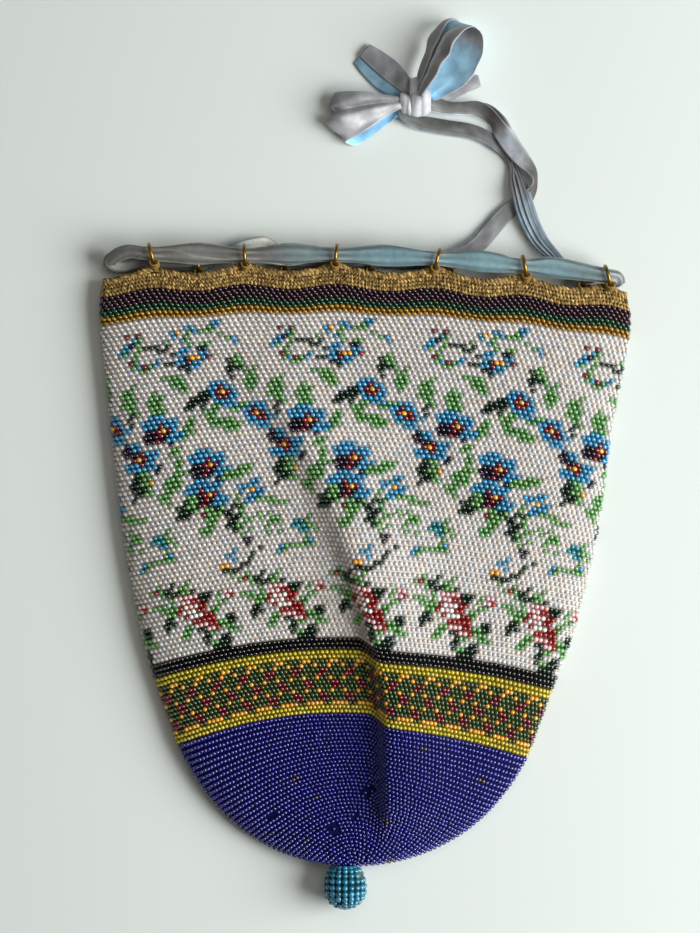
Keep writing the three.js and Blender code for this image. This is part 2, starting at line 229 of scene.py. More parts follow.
def unit(vectors):
    """Vectors of length one."""
    return vectors / np.maximum(np.linalg.norm(vectors, axis=-1, keepdims=True), 1e-9)


def smooth(start, end, value):
    """Ramp from 0 at start to 1 at end, level at both."""
    t = np.clip((value - start) / (end - start), 0, 1)
    return t * t * (3 - 2 * t)


def through(table, at):
    """Smooth curve through the rows of a table, keyed by its first column: cubic
    between two rows, its slope at a row that of the line between its neighbours."""
    at = np.asarray(at, float)
    keys = table[:, 0]
    i = np.clip(np.searchsorted(keys, at, side="left") - 1, 0, len(keys) - 2)
    a, b = table[i], table[i + 1]
    before, after = table[np.maximum(i - 1, 0)], table[np.minimum(i + 2, len(keys) - 1)]
    span = b[..., :1] - a[..., :1]
    t = (at[..., None] - a[..., :1]) / span
    slope_a = (b - before) / (b[..., :1] - before[..., :1]) * span
    slope_b = (after - a) / (after[..., :1] - a[..., :1]) * span
    return (
        a * (1 + 2 * t) * (1 - t) ** 2
        + slope_a * t * (1 - t) ** 2
        + b * t * t * (3 - 2 * t)
        + slope_b * t * t * (t - 1)
    )


def scallop(x):
    """Cosine wave along the mouth, highest at each front ring."""
    part = np.interp(x, RING_X, np.arange(len(RING_X)), left=-1, right=-1)
    before = (x - RING_X[0]) / (RING_X[1] - RING_X[0])
    after = (x - RING_X[-2]) / (RING_X[-1] - RING_X[-2])
    part = np.where(x < RING_X[0], before, np.where(x > RING_X[-1], after, part))
    return SCALLOP * np.cos(2 * np.pi * part)


def ridge_at(x, y):
    """Long fold up the front: a bell across, narrow on its left and wide on its
    right, times two ramps along, as it starts low and broad and then grows steep.
    Its crest bends to the left. Gives its height and how far it carries rows down."""
    up = np.maximum(0, y - RIDGE_BEND)
    d = x - (RIDGE_X - RIDGE_LEAN * up - RIDGE_CURL * up**2)
    width = np.where(d < 0, RIDGE_LEFT + RIDGE_SPREAD * up, RIDGE_RIGHT)
    low = smooth(RIDGE_END, RIDGE_LOW, y)
    swell = SWELL_SHARE * smooth(SWELL_TOP, SWELL_FULL, y)
    lift = RIDGE_HEIGHT * low * (swell + (1 - SWELL_SHARE) * smooth(RIDGE_TOP, RIDGE_FULL, y))
    step = STEP * low * smooth(STEP_TOP, STEP_FULL, y) * smooth(-STEP_RAMP, 0, d)
    return lift * np.exp(-((d / width) ** 2)), step * np.exp(-((np.maximum(0, d) / STEP_REACH) ** 2))


def past_flat(share):
    """How far a share of the way out to an edge has left the flat part of the back."""
    return np.maximum(0, (np.abs(share) - BACK_FLAT) / (1 - BACK_FLAT))


def pouch_point(s, row, front, inset):
    """Point of the pouch at knitted row and s from -1 at the left fold to 1 at the
    right one. Rows are parabolas above the navy end; below it each column is a
    quadratic curve to the pole. Front height is a root of 1 - s^4, the back lies flat."""
    row = np.asarray(row, float)
    sec = dict(zip(COLUMNS, np.moveaxis(through(SECTIONS, np.minimum(row, NAVY_ROW)), -1, 0)))
    t = np.clip((row - NAVY_ROW) / (POLE_ROW - NAVY_ROW), 0, 1)
    half = sec["half"] - inset
    x = sec["centre"] + half * s
    y = sec["y"] - sec["sag"] * s**2 - sec["tilt"] * s
    y = y + scallop(x) * (1 - smooth(0, SCALLOP_ROWS, row))
    pole_y = POLE_Y + inset
    mid_x = sec["centre"] + BOTTOM_FULLNESS * half * s
    mid_y = y + (pole_y - y) * (0.5 + 0.5 * s**2)
    x = x * (1 - t) ** 2 + 2 * mid_x * t * (1 - t) + POLE_X * t**2
    y = y * (1 - t) ** 2 + 2 * mid_y * t * (1 - t) + pole_y * t**2
    edge = sec["edge"] + (POLE_EDGE - sec["edge"]) * smooth(EDGE_TURN, 1, t)
    dome = np.sqrt(np.maximum(0, (1 - s**4) * (1 - t**3)))
    lift, step = ridge_at(x, y)
    flat = np.sqrt(np.maximum(0, 1 - past_flat(s) ** 2 - past_flat(t) ** 2))
    top = edge + (sec["rise"] - sec["edge"] - inset + lift) * dome
    under = edge - (edge - inset) * flat
    y = np.where(front, y - step * dome, y)
    return np.stack(np.broadcast_arrays(x, y, np.where(front, top, under)), -1)


def heading_point(s, level, front, inset):
    """Point of the heading at a level from 0 at its sewn edge to 1 at its top edge:
    the pouch's mouth row carried upward, tapering and waving in and out."""
    sec = dict(zip(COLUMNS, SECTIONS[0]))
    half = sec["half"] - HEADING_TAPER * level - inset
    x = half * s
    base = sec["y"] - sec["sag"] * s**2 - sec["tilt"] * s + scallop(x)
    y = base + HEADING_SEAM + (HEADING_HEIGHT - HEADING_SEAM) * level
    wave = HEADING_RUFFLE * level * scallop(x) / SCALLOP
    top = sec["edge"] + (sec["rise"] - inset - sec["edge"] - wave) * np.sqrt(np.maximum(0, 1 - s**4))
    under = sec["edge"] - (sec["edge"] - inset) * np.sqrt(np.maximum(0, 1 - past_flat(s) ** 2))
    return np.stack(np.broadcast_arrays(x, y, np.where(front, top, under)), -1)


# Steps from the left fold to the right one, closer towards both, and the short reach along a row
# that gives its direction.
SPREAD = 0.5 * np.linspace(-1, 1, 241) + 0.5 * np.sin(np.pi / 2 * np.linspace(-1, 1, 241))
NEAR = 0.004


def along_row(point_at, row, inset, q):
    """Points at q along one closed row: 0 to 1 is the share of the front's length
    from the left fold, 1 to 2 that of the back's on the way home."""
    q = np.mod(q, 2)
    lines = [point_at(SPREAD, row, True, inset), point_at(SPREAD[::-1], row, False, inset)]
    found = []
    for k, line in enumerate(lines):
        gone = np.concatenate([[0], np.cumsum(np.linalg.norm(np.diff(line, axis=0), axis=1))])
        found.append(np.stack([np.interp((q - k) * gone[-1], gone, line[:, i]) for i in range(3)], -1))
    return np.where((q < 1)[:, None], found[0], found[1])


def row_lengths(row, inset):
    """Length of a pouch row's front and of its back."""
    lines = [pouch_point(SPREAD, row, front, inset) for front in (True, False)]
    return [np.linalg.norm(np.diff(line, axis=0), axis=1).sum() for line in lines]


def frame_on_row(point_at, row, inset, q, step):
    """Place, along, down and outward directions at q on a row, by differences along
    it and between the rows a step away on both sides."""
    along = unit(along_row(point_at, row, inset, q + NEAR) - along_row(point_at, row, inset, q - NEAR))
    down = along_row(point_at, row + step, inset, q) - along_row(point_at, row - step, inset, q)
    out = unit(np.cross(down, along)) * np.sign(step)
    return along_row(point_at, row, inset, q), along, np.cross(along, out), out


def bead_template(sides, levels, depth):
    """Unit bead lying in its stitch: a top point, rings of points by polar angle,
    each turned half a side from the last, and a bottom point at a depth."""
    angles = np.arange(sides) * 2 * np.pi / sides
    rings = [np.array([[0, 0, 1.0]])]
    for k, polar in enumerate(levels):
        turn = angles + np.pi / sides * k
        level = np.full(sides, np.cos(polar))
        rings.append(np.stack([np.cos(turn) * np.sin(polar), np.sin(turn) * np.sin(polar), level], -1))
    rings.append(np.array([[0, 0, -depth]]))
    i = np.arange(sides)
    j = (i + 1) % sides
    faces = [np.stack([0 * i, 1 + i, 1 + j], -1)]
    for k in range(len(levels) - 1):
        upper, lower = 1 + k * sides, 1 + (k + 1) * sides
        faces.append(np.stack([upper + i, lower + i, upper + j], -1))
        faces.append(np.stack([upper + j, lower + i, lower + j], -1))
    last = 1 + (len(levels) - 1) * sides
    faces.append(np.stack([last + i, 0 * i + last + sides, last + j], -1))
    return np.concatenate(rings), np.concatenate(faces)


def turned(along, down, turn):
    """Directions along a row, each turned up from it by its own angle."""
    return along * np.cos(turn)[:, None] - down * np.sin(turn)[:, None]


def scatter(template, places, axes, sizes, tints):
    """Surface of a template's copies at places: each point is the place plus its
    three coordinates along the copy's axes, times the copy's sizes, in its tint."""
    points, faces = template
    spread = np.einsum("pk,nk,nkd->npd", points, sizes, axes)
    verts = (places[:, None, :] + spread).reshape(-1, 3)
    shift = (np.arange(len(places)) * len(points))[:, None, None]
    return verts, (faces[None] + shift).reshape(-1, 3), np.repeat(tints, len(points), axis=0)


def joined(surfaces):
    """One surface from several: their points, faces and colours end to end."""
    points, faces, colours = zip(*surfaces)
    starts = np.cumsum([0, *map(len, points[:-1])])
    faces = [corners + start for corners, start in zip(faces, starts)]
    return np.concatenate(points), np.concatenate(faces), np.concatenate(colours)


def grid_faces(rows, columns, wrap_rows=False, wrap_columns=False):
    """Quads of a grid of points, row by row."""
    r = np.arange(rows if wrap_rows else rows - 1)
    c = np.arange(columns if wrap_columns else columns - 1)
    r, c = (a.ravel() for a in np.meshgrid(r, c, indexing="ij"))
    r2, c2 = (r + 1) % rows, (c + 1) % columns
    return np.stack([r * columns + c, r * columns + c2, r2 * columns + c2, r2 * columns + c], -1)


def add_piece(name, surface, material):
    """New mesh object from a surface: points in millimetres, equal-sided faces, shaded
    smooth, and colours, if any, as a point attribute. Its material is made on first
    use. It rides on the body root."""
    points, faces, *colours = surface
    mesh = bpy.data.meshes.new(name)
    points = np.array(points, float).reshape(-1, 3)
    points[:, 2] = np.maximum(points[:, 2], CLEAR)
    mesh.vertices.add(len(points))
    mesh.vertices.foreach_set("co", (points * MM).ravel())
    mesh.loops.add(faces.size)
    mesh.loops.foreach_set("vertex_index", faces.ravel().astype(np.int32))
    mesh.polygons.add(len(faces))
    mesh.polygons.foreach_set("loop_start", np.arange(0, faces.size, faces.shape[1], dtype=np.int32))
    mesh.polygons.foreach_set("use_smooth", np.ones(len(faces), bool))
    mesh.update(calc_edges=True)
    if colours:
        tint = mesh.color_attributes.new("tint", "FLOAT_COLOR", "POINT")
        tint.data.foreach_set("color", np.column_stack([*colours, np.ones(len(points))]).ravel())
    mesh.materials.append(bpy.data.materials.get(material) or MATERIALS[material]())
    obj = bpy.data.objects.new(name, mesh)
    bpy.context.scene.collection.objects.link(obj)
    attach(obj, "root")
    return obj


def add_node(tree, kind, links=(), **values):
    """Adds a node, sets its sockets by name and its other settings, and links to
    its sockets from (source node, output name) pairs."""
    node = tree.nodes.new(kind)
    for key, value in values.items():
        if key in node.inputs:
            node.inputs[key].default_value = value
        else:
            setattr(node, key, value)
    for socket, (source, output) in dict(links).items():
        tree.links.new(source.outputs[output], node.inputs[socket])
    return node


def new_material(name):
    """Empty node material with its output node."""
    material = bpy.data.materials.new(name)
    material.use_nodes = True
    material.node_tree.nodes.clear()
    return material, material.node_tree


def tinted_material(name, finish, lumps=0, bump=0, mottle=0):
    """Surface coloured by its tint attribute with the given finish on its shader. Its
    bump has so many lumps to the millimetre, and mottle darkens it in patches six
    lumps wide."""
    material, tree = new_material(name)
    tint = add_node(tree, "ShaderNodeAttribute", attribute_name="tint")
    links = {"Base Color": (tint, "Color")}
    if lumps:
        where = add_node(tree, "ShaderNodeTexCoord")
        place = {"Vector": (where, "Object")}
    if mottle:
        patches = add_node(tree, "ShaderNodeTexNoise", place, Scale=lumps / 6 / MM, Detail=6.0)
        pair = {"Color1": (tint, "Color"), "Color2": (patches, "Fac")}
        colour = add_node(tree, "ShaderNodeMixRGB", pair, blend_type="MULTIPLY", Fac=mottle)
        links["Base Color"] = (colour, "Color")
    if bump:
        noise = add_node(tree, "ShaderNodeTexNoise", place, Scale=lumps / MM, Detail=3.0)
        height = {"Height": (noise, "Fac")}
        rough = add_node(tree, "ShaderNodeBump", height, Strength=bump, Distance=0.3 * MM)
        links["Normal"] = (rough, "Normal")
    surface = add_node(tree, "ShaderNodeBsdfPrincipled", links, **finish)
    add_node(tree, "ShaderNodeOutputMaterial", {"Surface": (surface, "BSDF")})
    return material


def beads_material():
    """Lead glass beads: a small bright highlight on each over a strong body colour."""
    gloss = {"Roughness": 0.12, "IOR": 1.55, "Coat Weight": 1.0, "Coat Roughness": 0.07, "Coat IOR": 1.6}
    return tinted_material("glass_beads", gloss)


def silk_knit_material():
    """Knitted silk: matt, uneven strands 0.4 mm thick."""
    matt = {"Roughness": 0.7, "Specular IOR Level": 0.1}
    return tinted_material("silk_knit", matt, lumps=2.5, bump=0.35)


def ribbon_material():
    """Shot silk ribbon: satiny, with a worn, patchy lustre. Its weave is drawn as lumps
    of a third of a millimetre, coarser than the real threads, so that it shows."""
    satin = {"Roughness": 0.46, "Sheen Weight": 0.15}
    return tinted_material("shot_silk_ribbon", satin, lumps=3.0, bump=0.35, mottle=0.5)


BRASS_BROWN, BRASS_YELLOW = "#6E5830", "#C2AC72"


def brass_material():
    """Old brass: yellow metal, browned in soft patches 1.4 mm wide."""
    material, tree = new_material("aged_brass")
    where = add_node(tree, "ShaderNodeTexCoord")
    noise = add_node(tree, "ShaderNodeTexNoise", {"Vector": (where, "Object")}, Scale=0.7 / MM, Detail=2.0)
    ramp = add_node(tree, "ShaderNodeValToRGB", {"Fac": (noise, "Fac")})
    for element, position, code in zip(ramp.color_ramp.elements, (0.35, 0.65), (BRASS_BROWN, BRASS_YELLOW)):
        element.position = position
        element.color = (*linear(code), 1)
    metal = {"Metallic": 1.0, "Roughness": 0.34}
    surface = add_node(tree, "ShaderNodeBsdfPrincipled", {"Base Color": (ramp, "Color")}, **metal)
    add_node(tree, "ShaderNodeOutputMaterial", {"Surface": (surface, "BSDF")})
    return material


MATERIALS = {
    "glass_beads": beads_material,
    "silk_knit": silk_knit_material,
    "shot_silk_ribbon": ribbon_material,
    "aged_brass": brass_material,
}


def stamped(placements, stitches):
    """Letters of one repeat of the field, charts laid over each other in order and
    wrapped round the repeat."""
    field = np.full((FIELD_ROWS, stitches), ".", dtype="<U1")
    for name, column, row in placements:
        chart = np.array([list(line) for line in CHARTS[name]])
        r, c = np.nonzero(chart != ".")
        rr = r + row + CHART_ROW - FIELD_ROW
        inside = (rr >= 0) & (rr < FIELD_ROWS)
        field[rr[inside], (c[inside] + column) % stitches] = chart[r[inside], c[inside]]
    return field


def letters_of_row(row, cells):
    """Chart letter of each stitch of a row."""
    if row < FIELD_ROW:
        return np.full(len(cells), TOP_BANDS[row])
    if row >= NAVY_ROW:
        return np.full(len(cells), "n")
    if row < FIELD_ROW + FIELD_ROWS:
        garland = stamped(GARLAND, GARLAND_STITCHES)[row - FIELD_ROW][cells % GARLAND_STITCHES]
        rose = stamped(ROSES, ROSE_STITCHES)[row - FIELD_ROW][cells % ROSE_STITCHES]
        return np.where((rose != ".") & (cells < ROSES_END), rose, garland)
    band = row - FIELD_ROW - FIELD_ROWS
    if LOW_BANDS[band] == "-":
        line = np.array(list(TRELLIS[band - LOW_BANDS.index("-")]))
        return line[cells % len(line)]
    return np.full(len(cells), LOW_BANDS[band])


def row_stitches(row):
    """Stitches of a row above the navy end: how far along the row each lies and its
    chart letter. Each row starts a share of a stitch further on than the last."""
    shift = (ROW_SHIFT * row) % 1
    left = FIRST_CELL + CELL_DRIFT * row
    cells = np.floor(left) + 1 + np.arange(STITCHES)
    gone = cells + shift - left
    back = 1 + (gone - FRONT_STITCHES) / (STITCHES - FRONT_STITCHES)
    q = np.where(gone < FRONT_STITCHES, gone / FRONT_STITCHES, back)
    return q, letters_of_row(row, np.floor(cells + shift + 0.5).astype(int))


# Beads: how deep their middles lie in the wall, how far off a row the next ones are looked for,
# and the room that a stitch can have.
BEAD_INSET = 0.78
FRAME_STEP, ROOM_STEP = 0.3, 0.4
ROOM_LEAST, ROOM_MOST = 0.9, 1.8
# Their length and breadth as shares of that room, and letters of slender and of large ones.
BEAD_SHAPE = (1.06, 0.96)
SLENDER, SLENDER_SHAPE, SLENDER_TURN = "e", (1.05, 0.8, 0.9), -0.35
LARGE, LARGE_SHAPE = ("o", "r"), 1.12
# Spread of their tints, turns, leans, sizes and places.
LIGHT_SPREAD, WARM_SPREAD, TURN_SPREAD, LEAN_SPREAD = 0.1, 0.055, 0.14, 0.07
SIZE_SPREAD, ALONG_SPREAD, DOWN_SPREAD = 0.05, 0.05, 0.04
# Facets: sides on the front and back, polar angles of the rings of points, and depth below.
FRONT_SIDES, BACK_SIDES = 7, 5
BEAD_LEVELS, BEAD_DEPTH = (0.85, 1.7), 0.25


def bead_rows():
    """Every bead of the pouch: its row, place, along, down and outward directions,
    room along the row and to the next row, chart letter and whether it is on the
    front. Stitches are even along each row's front and back; below the flowers
    fewer and fewer keep their spacing."""
    found = []
    for row in range(POLE_ROW):
        middle = row + 0.5
        if row < NAVY_ROW:
            counts = [FRONT_STITCHES, STITCHES - FRONT_STITCHES]
            q, letters = row_stitches(row)
        else:
            group = min(row - row % 3 + 1, POLE_ROW - 1) + 0.5
            counts = [max(3, round(length / NAVY_STITCH)) for length in row_lengths(group, BEAD_INSET)]
            shift = (ROW_SHIFT * row) % 1
            q = np.concatenate([side + (np.arange(n) + shift) / n for side, n in enumerate(counts)])
            letters = letters_of_row(row, np.arange(len(q)))
        place, along, down, out = frame_on_row(pouch_point, middle, BEAD_INSET, q, FRAME_STEP)
        pitch = np.divide(row_lengths(middle, BEAD_INSET), counts)
        lines = [along_row(pouch_point, middle + step, BEAD_INSET, q) for step in (-ROOM_STEP, ROOM_STEP)]
        height = np.linalg.norm(lines[1] - lines[0], axis=1) / (2 * ROOM_STEP)
        room = np.column_stack([np.where(q < 1, *pitch), height])
        found.append((np.full(len(q), row), place, along, down, out, room, letters, q < 1))
    return [np.concatenate(part) for part in zip(*found)]


def bead_colours(letters):
    """Plain colour of each chart letter."""
    index = np.searchsorted(sorted(BEAD_COLOURS), letters)
    return np.stack([linear(BEAD_COLOURS[key]) for key in sorted(BEAD_COLOURS)])[index]


def in_spots(place, spots):
    """Whether each place, seen from above, lies in one of the round spots."""
    gap = np.linalg.norm(place[:, None, :2] - spots[None, :, :2], axis=2) - spots[:, 2]
    return gap.min(axis=1) < 0


def bead_tints(letters, rng):
    """Colour of each bead: its letter's colour, a little lighter or darker, warmer
    or cooler, as hand-made beads are."""
    light = np.exp(rng.normal(0, LIGHT_SPREAD, (len(letters), 1)))
    warm = rng.normal(0, WARM_SPREAD, (len(letters), 1)) * np.array([[1, 0.1, -1]])
    return np.clip(bead_colours(letters) * light * (1 + warm), 0, 1)


def length_setting(name, description, millimetres):
    """Length that a user can change."""
    return bpy.props.FloatProperty(
        name=name, description=description, default=millimetres * MM, unit="LENGTH")


def colour_setting(name, description, code):
    """Colour that a user can change."""
    return bpy.props.FloatVectorProperty(
        name=name, description=description, default=tuple(linear(code)), subtype="COLOR")


class ReticuleSettings(bpy.types.PropertyGroup):
    """Sizes and colours that a user would change."""

    bead_fill: bpy.props.FloatProperty(
        name="Bead fill", description="Share of its stitch that a bead fills",
        default=1.06, subtype="FACTOR")
    bead_height: length_setting("Bead height", "Height of a bead above the knitted ground", 0.74)
    bead_slant: bpy.props.FloatProperty(
        name="Bead slant", description="Turn of the beads in their stitches",
        default=-0.55, subtype="ANGLE")
    ribbon_width: length_setting("Ribbon width", "Width of the ribbon laid flat", 17)
    ribbon_thickness: length_setting("Ribbon thickness", "Thickness of the silk", 0.2)
    drawn_length: length_setting("Drawn length", "Length of ribbon in the rings", 300)
    grey_silk: colour_setting("Grey silk", "Ribbon's grey-lilac face", "#ADADB2")
    blue_silk: colour_setting("Blue silk", "Ribbon's blue face", "#A8DAF6")
    # Painted shade: the slate that ribbon parts in shadow are darkened towards.
    painted_shade_silk: colour_setting("Slate silk", "Ribbon where it turns from the light", "#56534E")
    # The selvedge's own pale, also used for painted highlights on fold crests and where the ribbon catches
    # the light.
    selvedge_and_highlight_silk: colour_setting("Selvedge", "Ribbon's pale woven edge", "#F0EEF2")
    tan_silk: colour_setting("Tan silk", "Heading's silk", "#9C7E4C")
    turquoise: colour_setting("Turquoise", "Beads of the ball", "#147C92")
    floor: colour_setting("Floor", "Surface that the bag lies on", "#E2E7E4")


# Ground: depth of its surface, its rows below the flowers and those of its inside.
GROUND_INSET = 0.8
BOTTOM_ROWS = [96.2, *range(98, 134, 3), 134.5, 135.4, 135.9]
INNER_ROWS = [*range(0, 132, 6), 133.5, 135.0, 135.8]


class RETICULE_OT_pouch(bpy.types.Operator):
    """Knitted silk ground of the pouch, hollow, under its beads"""

    bl_idname = "reticule.pouch"
    bl_label = "Pouch ground"

    def execute(self, context):
        outer = [0, *(np.arange(NAVY_ROW) + 0.5), *BOTTOM_ROWS]
        rings, tints = [], []
        for row in outer[::-1]:
            q, letters = row_stitches(min(int(row), NAVY_ROW))
            rings.append(along_row(pouch_point, row, GROUND_INSET, q))
            # Painted shade: under coloured beads the silk is their colour darkened, for dark gaps between
            # them.
            shaded = bead_colours(letters) * GROUND_PAINTED_SHADE
            tints.append(np.where(letters[:, None] == ".", PALE_GROUND, shaded))
        for row in INNER_ROWS:
            rings.append(along_row(pouch_point, row, WALL, q))
            tints.append(np.tile(linear(INNER_SILK), (STITCHES, 1)))
        last = len(rings) * STITCHES
        i = np.arange(STITCHES)
        j = (i + 1) % STITCHES
        grid = grid_faces(len(rings), STITCHES, wrap_columns=True)
        outer_cap = np.stack([np.full(STITCHES, last), j, i], -1)
        inner_cap = np.stack([last - STITCHES + i, last - STITCHES + j, np.full(STITCHES, last + 1)], -1)
        faces = np.concatenate([grid[:, :3], grid[:, [0, 2, 3]], outer_cap, inner_cap])
        points = np.concatenate([*rings, rings[0].mean(axis=0)[None], rings[-1].mean(axis=0)[None]])
        tint = np.concatenate([*tints, tints[0][:1], tints[-1][:1]])
        obj = add_piece("pouch_ground", (points, faces, tint), "silk_knit")
        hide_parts("pouch")
        return {"FINISHED"}


class RETICULE_OT_beads(bpy.types.Operator):
    """Seed beads of the pouch: one in each stitch, coloured from the charts"""

    bl_idname = "reticule.beads"
    bl_label = "Seed beads"

    def execute(self, context):
        settings = context.scene.reticule
        rng = np.random.default_rng(11)
        row, place, along, down, out, room, letters, front = bead_rows()
        count = len(row)
        navy_front = front & (row >= NAVY_ROW)
        letters = np.where(navy_front & in_spots(place, BROWN_SPOTS), "m", letters)
        tints = bead_tints(letters, rng)
        slender = letters == SLENDER
        turn = settings.bead_slant + rng.normal(0, TURN_SPREAD, count) + np.where(slender, SLENDER_TURN, 0)
        first = turned(along, down, turn)
        second = np.cross(out, first)
        lean = rng.normal(0, LEAN_SPREAD, (count, 2))
        axes = np.stack([first, second, unit(out + first * lean[:, :1] + second * lean[:, 1:])], 1)
        room = np.clip(room, ROOM_LEAST, ROOM_MOST) * settings.bead_fill / 2
        sizes = np.column_stack([room * BEAD_SHAPE, np.full(count, settings.bead_height / MM)])
        sizes = sizes * (1 + np.clip(rng.normal(0, SIZE_SPREAD, (count, 3)), -0.1, 0))
        sizes = np.where(slender[:, None], sizes * SLENDER_SHAPE, sizes)
        sizes = np.where(np.isin(letters, LARGE)[:, None], sizes * LARGE_SHAPE, sizes)
        place = place + along * rng.normal(0, ALONG_SPREAD, (count, 1))
        place = place + down * rng.normal(0, DOWN_SPREAD, (count, 1))
        lost = navy_front & in_spots(place, LOST_SPOTS) & (rng.uniform(size=count) < LOST_SHARE)
        field = (row >= FIELD_ROW) & (row < FIELD_ROW + FIELD_ROWS)
        groups = {
            "beads_field_front": field & front,
            "beads_field_back": field & ~front,
            "beads_bands": ~field & (row < NAVY_ROW),
            "beads_navy": (row >= NAVY_ROW) & ~lost,
        }
        for name, mask in groups.items():
            parts = []
            for shown, sides in ((front, FRONT_SIDES), (~front, BACK_SIDES)):
                mine = mask & shown
                template = bead_template(sides, BEAD_LEVELS, BEAD_DEPTH)
                parts.append(scatter(template, place[mine], axes[mine], sizes[mine], tints[mine]))
            add_piece(name, joined(parts), "glass_beads")
        return {"FINISHED"}


# Heading: its band between two depths, at a tenth of the tan as painted shade in the gaps between
# the stitches, rows of stitches that lean to both hands, and a corded edge whose rows have a level,
# a lean and a thickness.
BAND_INSETS, BAND_STEPS, BAND_PAINTED_SHADE = (0.85, 1.7), 240, 0.1
STITCH_INSET, STITCH_COLUMNS, STITCH_LEVELS = 0.7, 300, np.linspace(0.03, 0.78, 4)
STITCH_SIZE, STITCH_LEAN, STITCH_APART, STITCH_SPREAD = (0.76, 0.34, 0.5), 0.42, 0.55, 0.14
STITCH_SIDES, LEVEL_STEP = 6, -0.03
EDGE_STITCHES, EDGE_LENGTH, EDGE_SLIM = 560, 0.95, 0.62
EDGE_ROWS = ((0.9, 0.75, 0.56), (1.0, 0.62, 0.66))
# The edge rises to each ring: rise above a level, and reach to both sides.
EDGE_RISE, EDGE_FROM, EDGE_REACH = 2.7, 0.55, 3.2


class RETICULE_OT_heading(bpy.types.Operator):
    """Tan silk heading: its band, its knitted stitches and the corded edge that
    rises to each ring"""

    bl_idname = "reticule.heading"
    bl_label = "Heading"

    def execute(self, context):
        settings = context.scene.reticule
        rng = np.random.default_rng(5)
        tan = np.array(settings.tan_silk)
        levels = np.linspace(0, 1, 6)
        q = np.arange(BAND_STEPS) * 2 / BAND_STEPS
        rings = [along_row(heading_point, level, BAND_INSETS[0], q) for level in levels]
        rings += [along_row(heading_point, level, BAND_INSETS[1], q) for level in levels[::-1]]
        faces = grid_faces(len(rings), len(q), wrap_rows=True, wrap_columns=True)
        points = np.concatenate(rings)
        # Painted shade: the band is seen only between the stitches, so it is made dark.
        shade = np.tile(tan * BAND_PAINTED_SHADE, (len(points), 1))
        band = add_piece("heading_band", (points, faces, shade), "silk_knit")
        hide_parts("heading")

        parts = []
        for level in STITCH_LEVELS:
            for hand in (-1, 1):
                q = (np.arange(STITCH_COLUMNS) * 2 + STITCH_APART * hand) / STITCH_COLUMNS
                frames = frame_on_row(heading_point, level, STITCH_INSET, q, LEVEL_STEP)
                turn = np.pi / 2 - STITCH_LEAN * hand + rng.normal(0, STITCH_SPREAD, STITCH_COLUMNS)
                # Painted light and shade: stitches leaning to one hand are lighter and those leaning to the
                # other darker; the random spread is the silk's own.
                light = np.exp(rng.normal(0, 0.42, STITCH_COLUMNS)) * (1.3 if hand > 0 else 0.62)
                size = np.tile(STITCH_SIZE, (STITCH_COLUMNS, 1))
                parts.append((*frames, turn, size, np.minimum(light, 2.2)))
        ring_x = [np.array([ring_centre(node)[0] for node in nodes]) for nodes in (FRONT_RINGS, BACK_RINGS)]
        number = np.arange(EDGE_STITCHES)
        q = number * 2 / EDGE_STITCHES
        for level, lean, thick in EDGE_ROWS:
            place, *axes = frame_on_row(heading_point, level, STITCH_INSET, q, LEVEL_STEP)
            near = [np.abs(place[:, :1] - x).min(axis=1) for x in ring_x]
            rise = EDGE_RISE * (level - EDGE_FROM) * np.exp(-((np.where(q < 1, *near) / EDGE_REACH) ** 2))
            wave = [0 * q, rise + 0.12 * np.sin(number * 0.7), 0.1 * np.sin(number * 0.37)]
            # Painted light and shade: every other stitch of the cord is lighter and the ones between
            # darker; the random spread is the silk's own.
            light = np.exp(rng.normal(0, 0.25, EDGE_STITCHES)) * np.where(number % 2, 1.3, 0.55)
            size = np.tile([EDGE_LENGTH, thick * EDGE_SLIM, thick], (EDGE_STITCHES, 1))
            turn = lean + rng.normal(0, 0.1, EDGE_STITCHES)
            parts.append((place + np.column_stack(wave), *axes, turn, size, light))
        place, along, down, out, turn, sizes, light = (np.concatenate(part) for part in zip(*parts))
        first = turned(along, down, turn)
        axes = np.stack([first, np.cross(out, first), out], 1)
        place = place + rng.normal(0, 0.05, place.shape)
        sizes = sizes * (1 + rng.normal(0, 0.08, sizes.shape))
        tints = np.clip(tan * light[:, None], 0, 1)
        stitches = scatter(bead_template(STITCH_SIDES, BEAD_LEVELS, BEAD_DEPTH), place, axes, sizes, tints)
        add_piece("heading_stitches", stitches, "silk_knit")
        return {"FINISHED"}


def torus(centre, axis, radius, wire, steps, sides):
    """Ring of wire: circle of radius about the axis, with a round section."""
    axis = unit(np.array(axis, float))
    first = unit(np.cross(axis, [0, 0, 1.0]))
    second = np.cross(axis, first)
    a = np.arange(steps)[:, None] * 2 * np.pi / steps
    b = np.arange(sides)[None, :] * 2 * np.pi / sides
    spoke = np.cos(a)[..., None] * first + np.sin(a)[..., None] * second
    points = centre + spoke * (radius + wire * np.cos(b))[..., None] + axis * (wire * np.sin(b))[..., None]
    return points.reshape(-1, 3), grid_faces(steps, sides, wrap_rows=True, wrap_columns=True)


# Rings: turn of each from edge-on in degrees, radius, wire and facets.
RING_TURNS = dict(zip(FRONT_RINGS + BACK_RINGS, (16, 4, -6, -14, 10, 14, 5, -12, 6, 10, -20)))
RING_RADIUS, RING_WIRE, RING_FACETS = 2.95, 0.55, (32, 12)
# Threads: turns on each ring, degrees from one to the next, radius, thickness, how they cross,
# facets, and where they lie from the ring's middle.
THREAD_TURNS, THREAD_FAN = 7, 12
THREAD_RADIUS, THREAD_THICK, THREAD_CROSS, THREAD_FACETS = 1.25, 0.32, 0.25, (12, 6)
THREAD_REACH, THREAD_DROP = 3.0, 0.45
THREAD_TINT = (0.8, 0.78, 0.6)


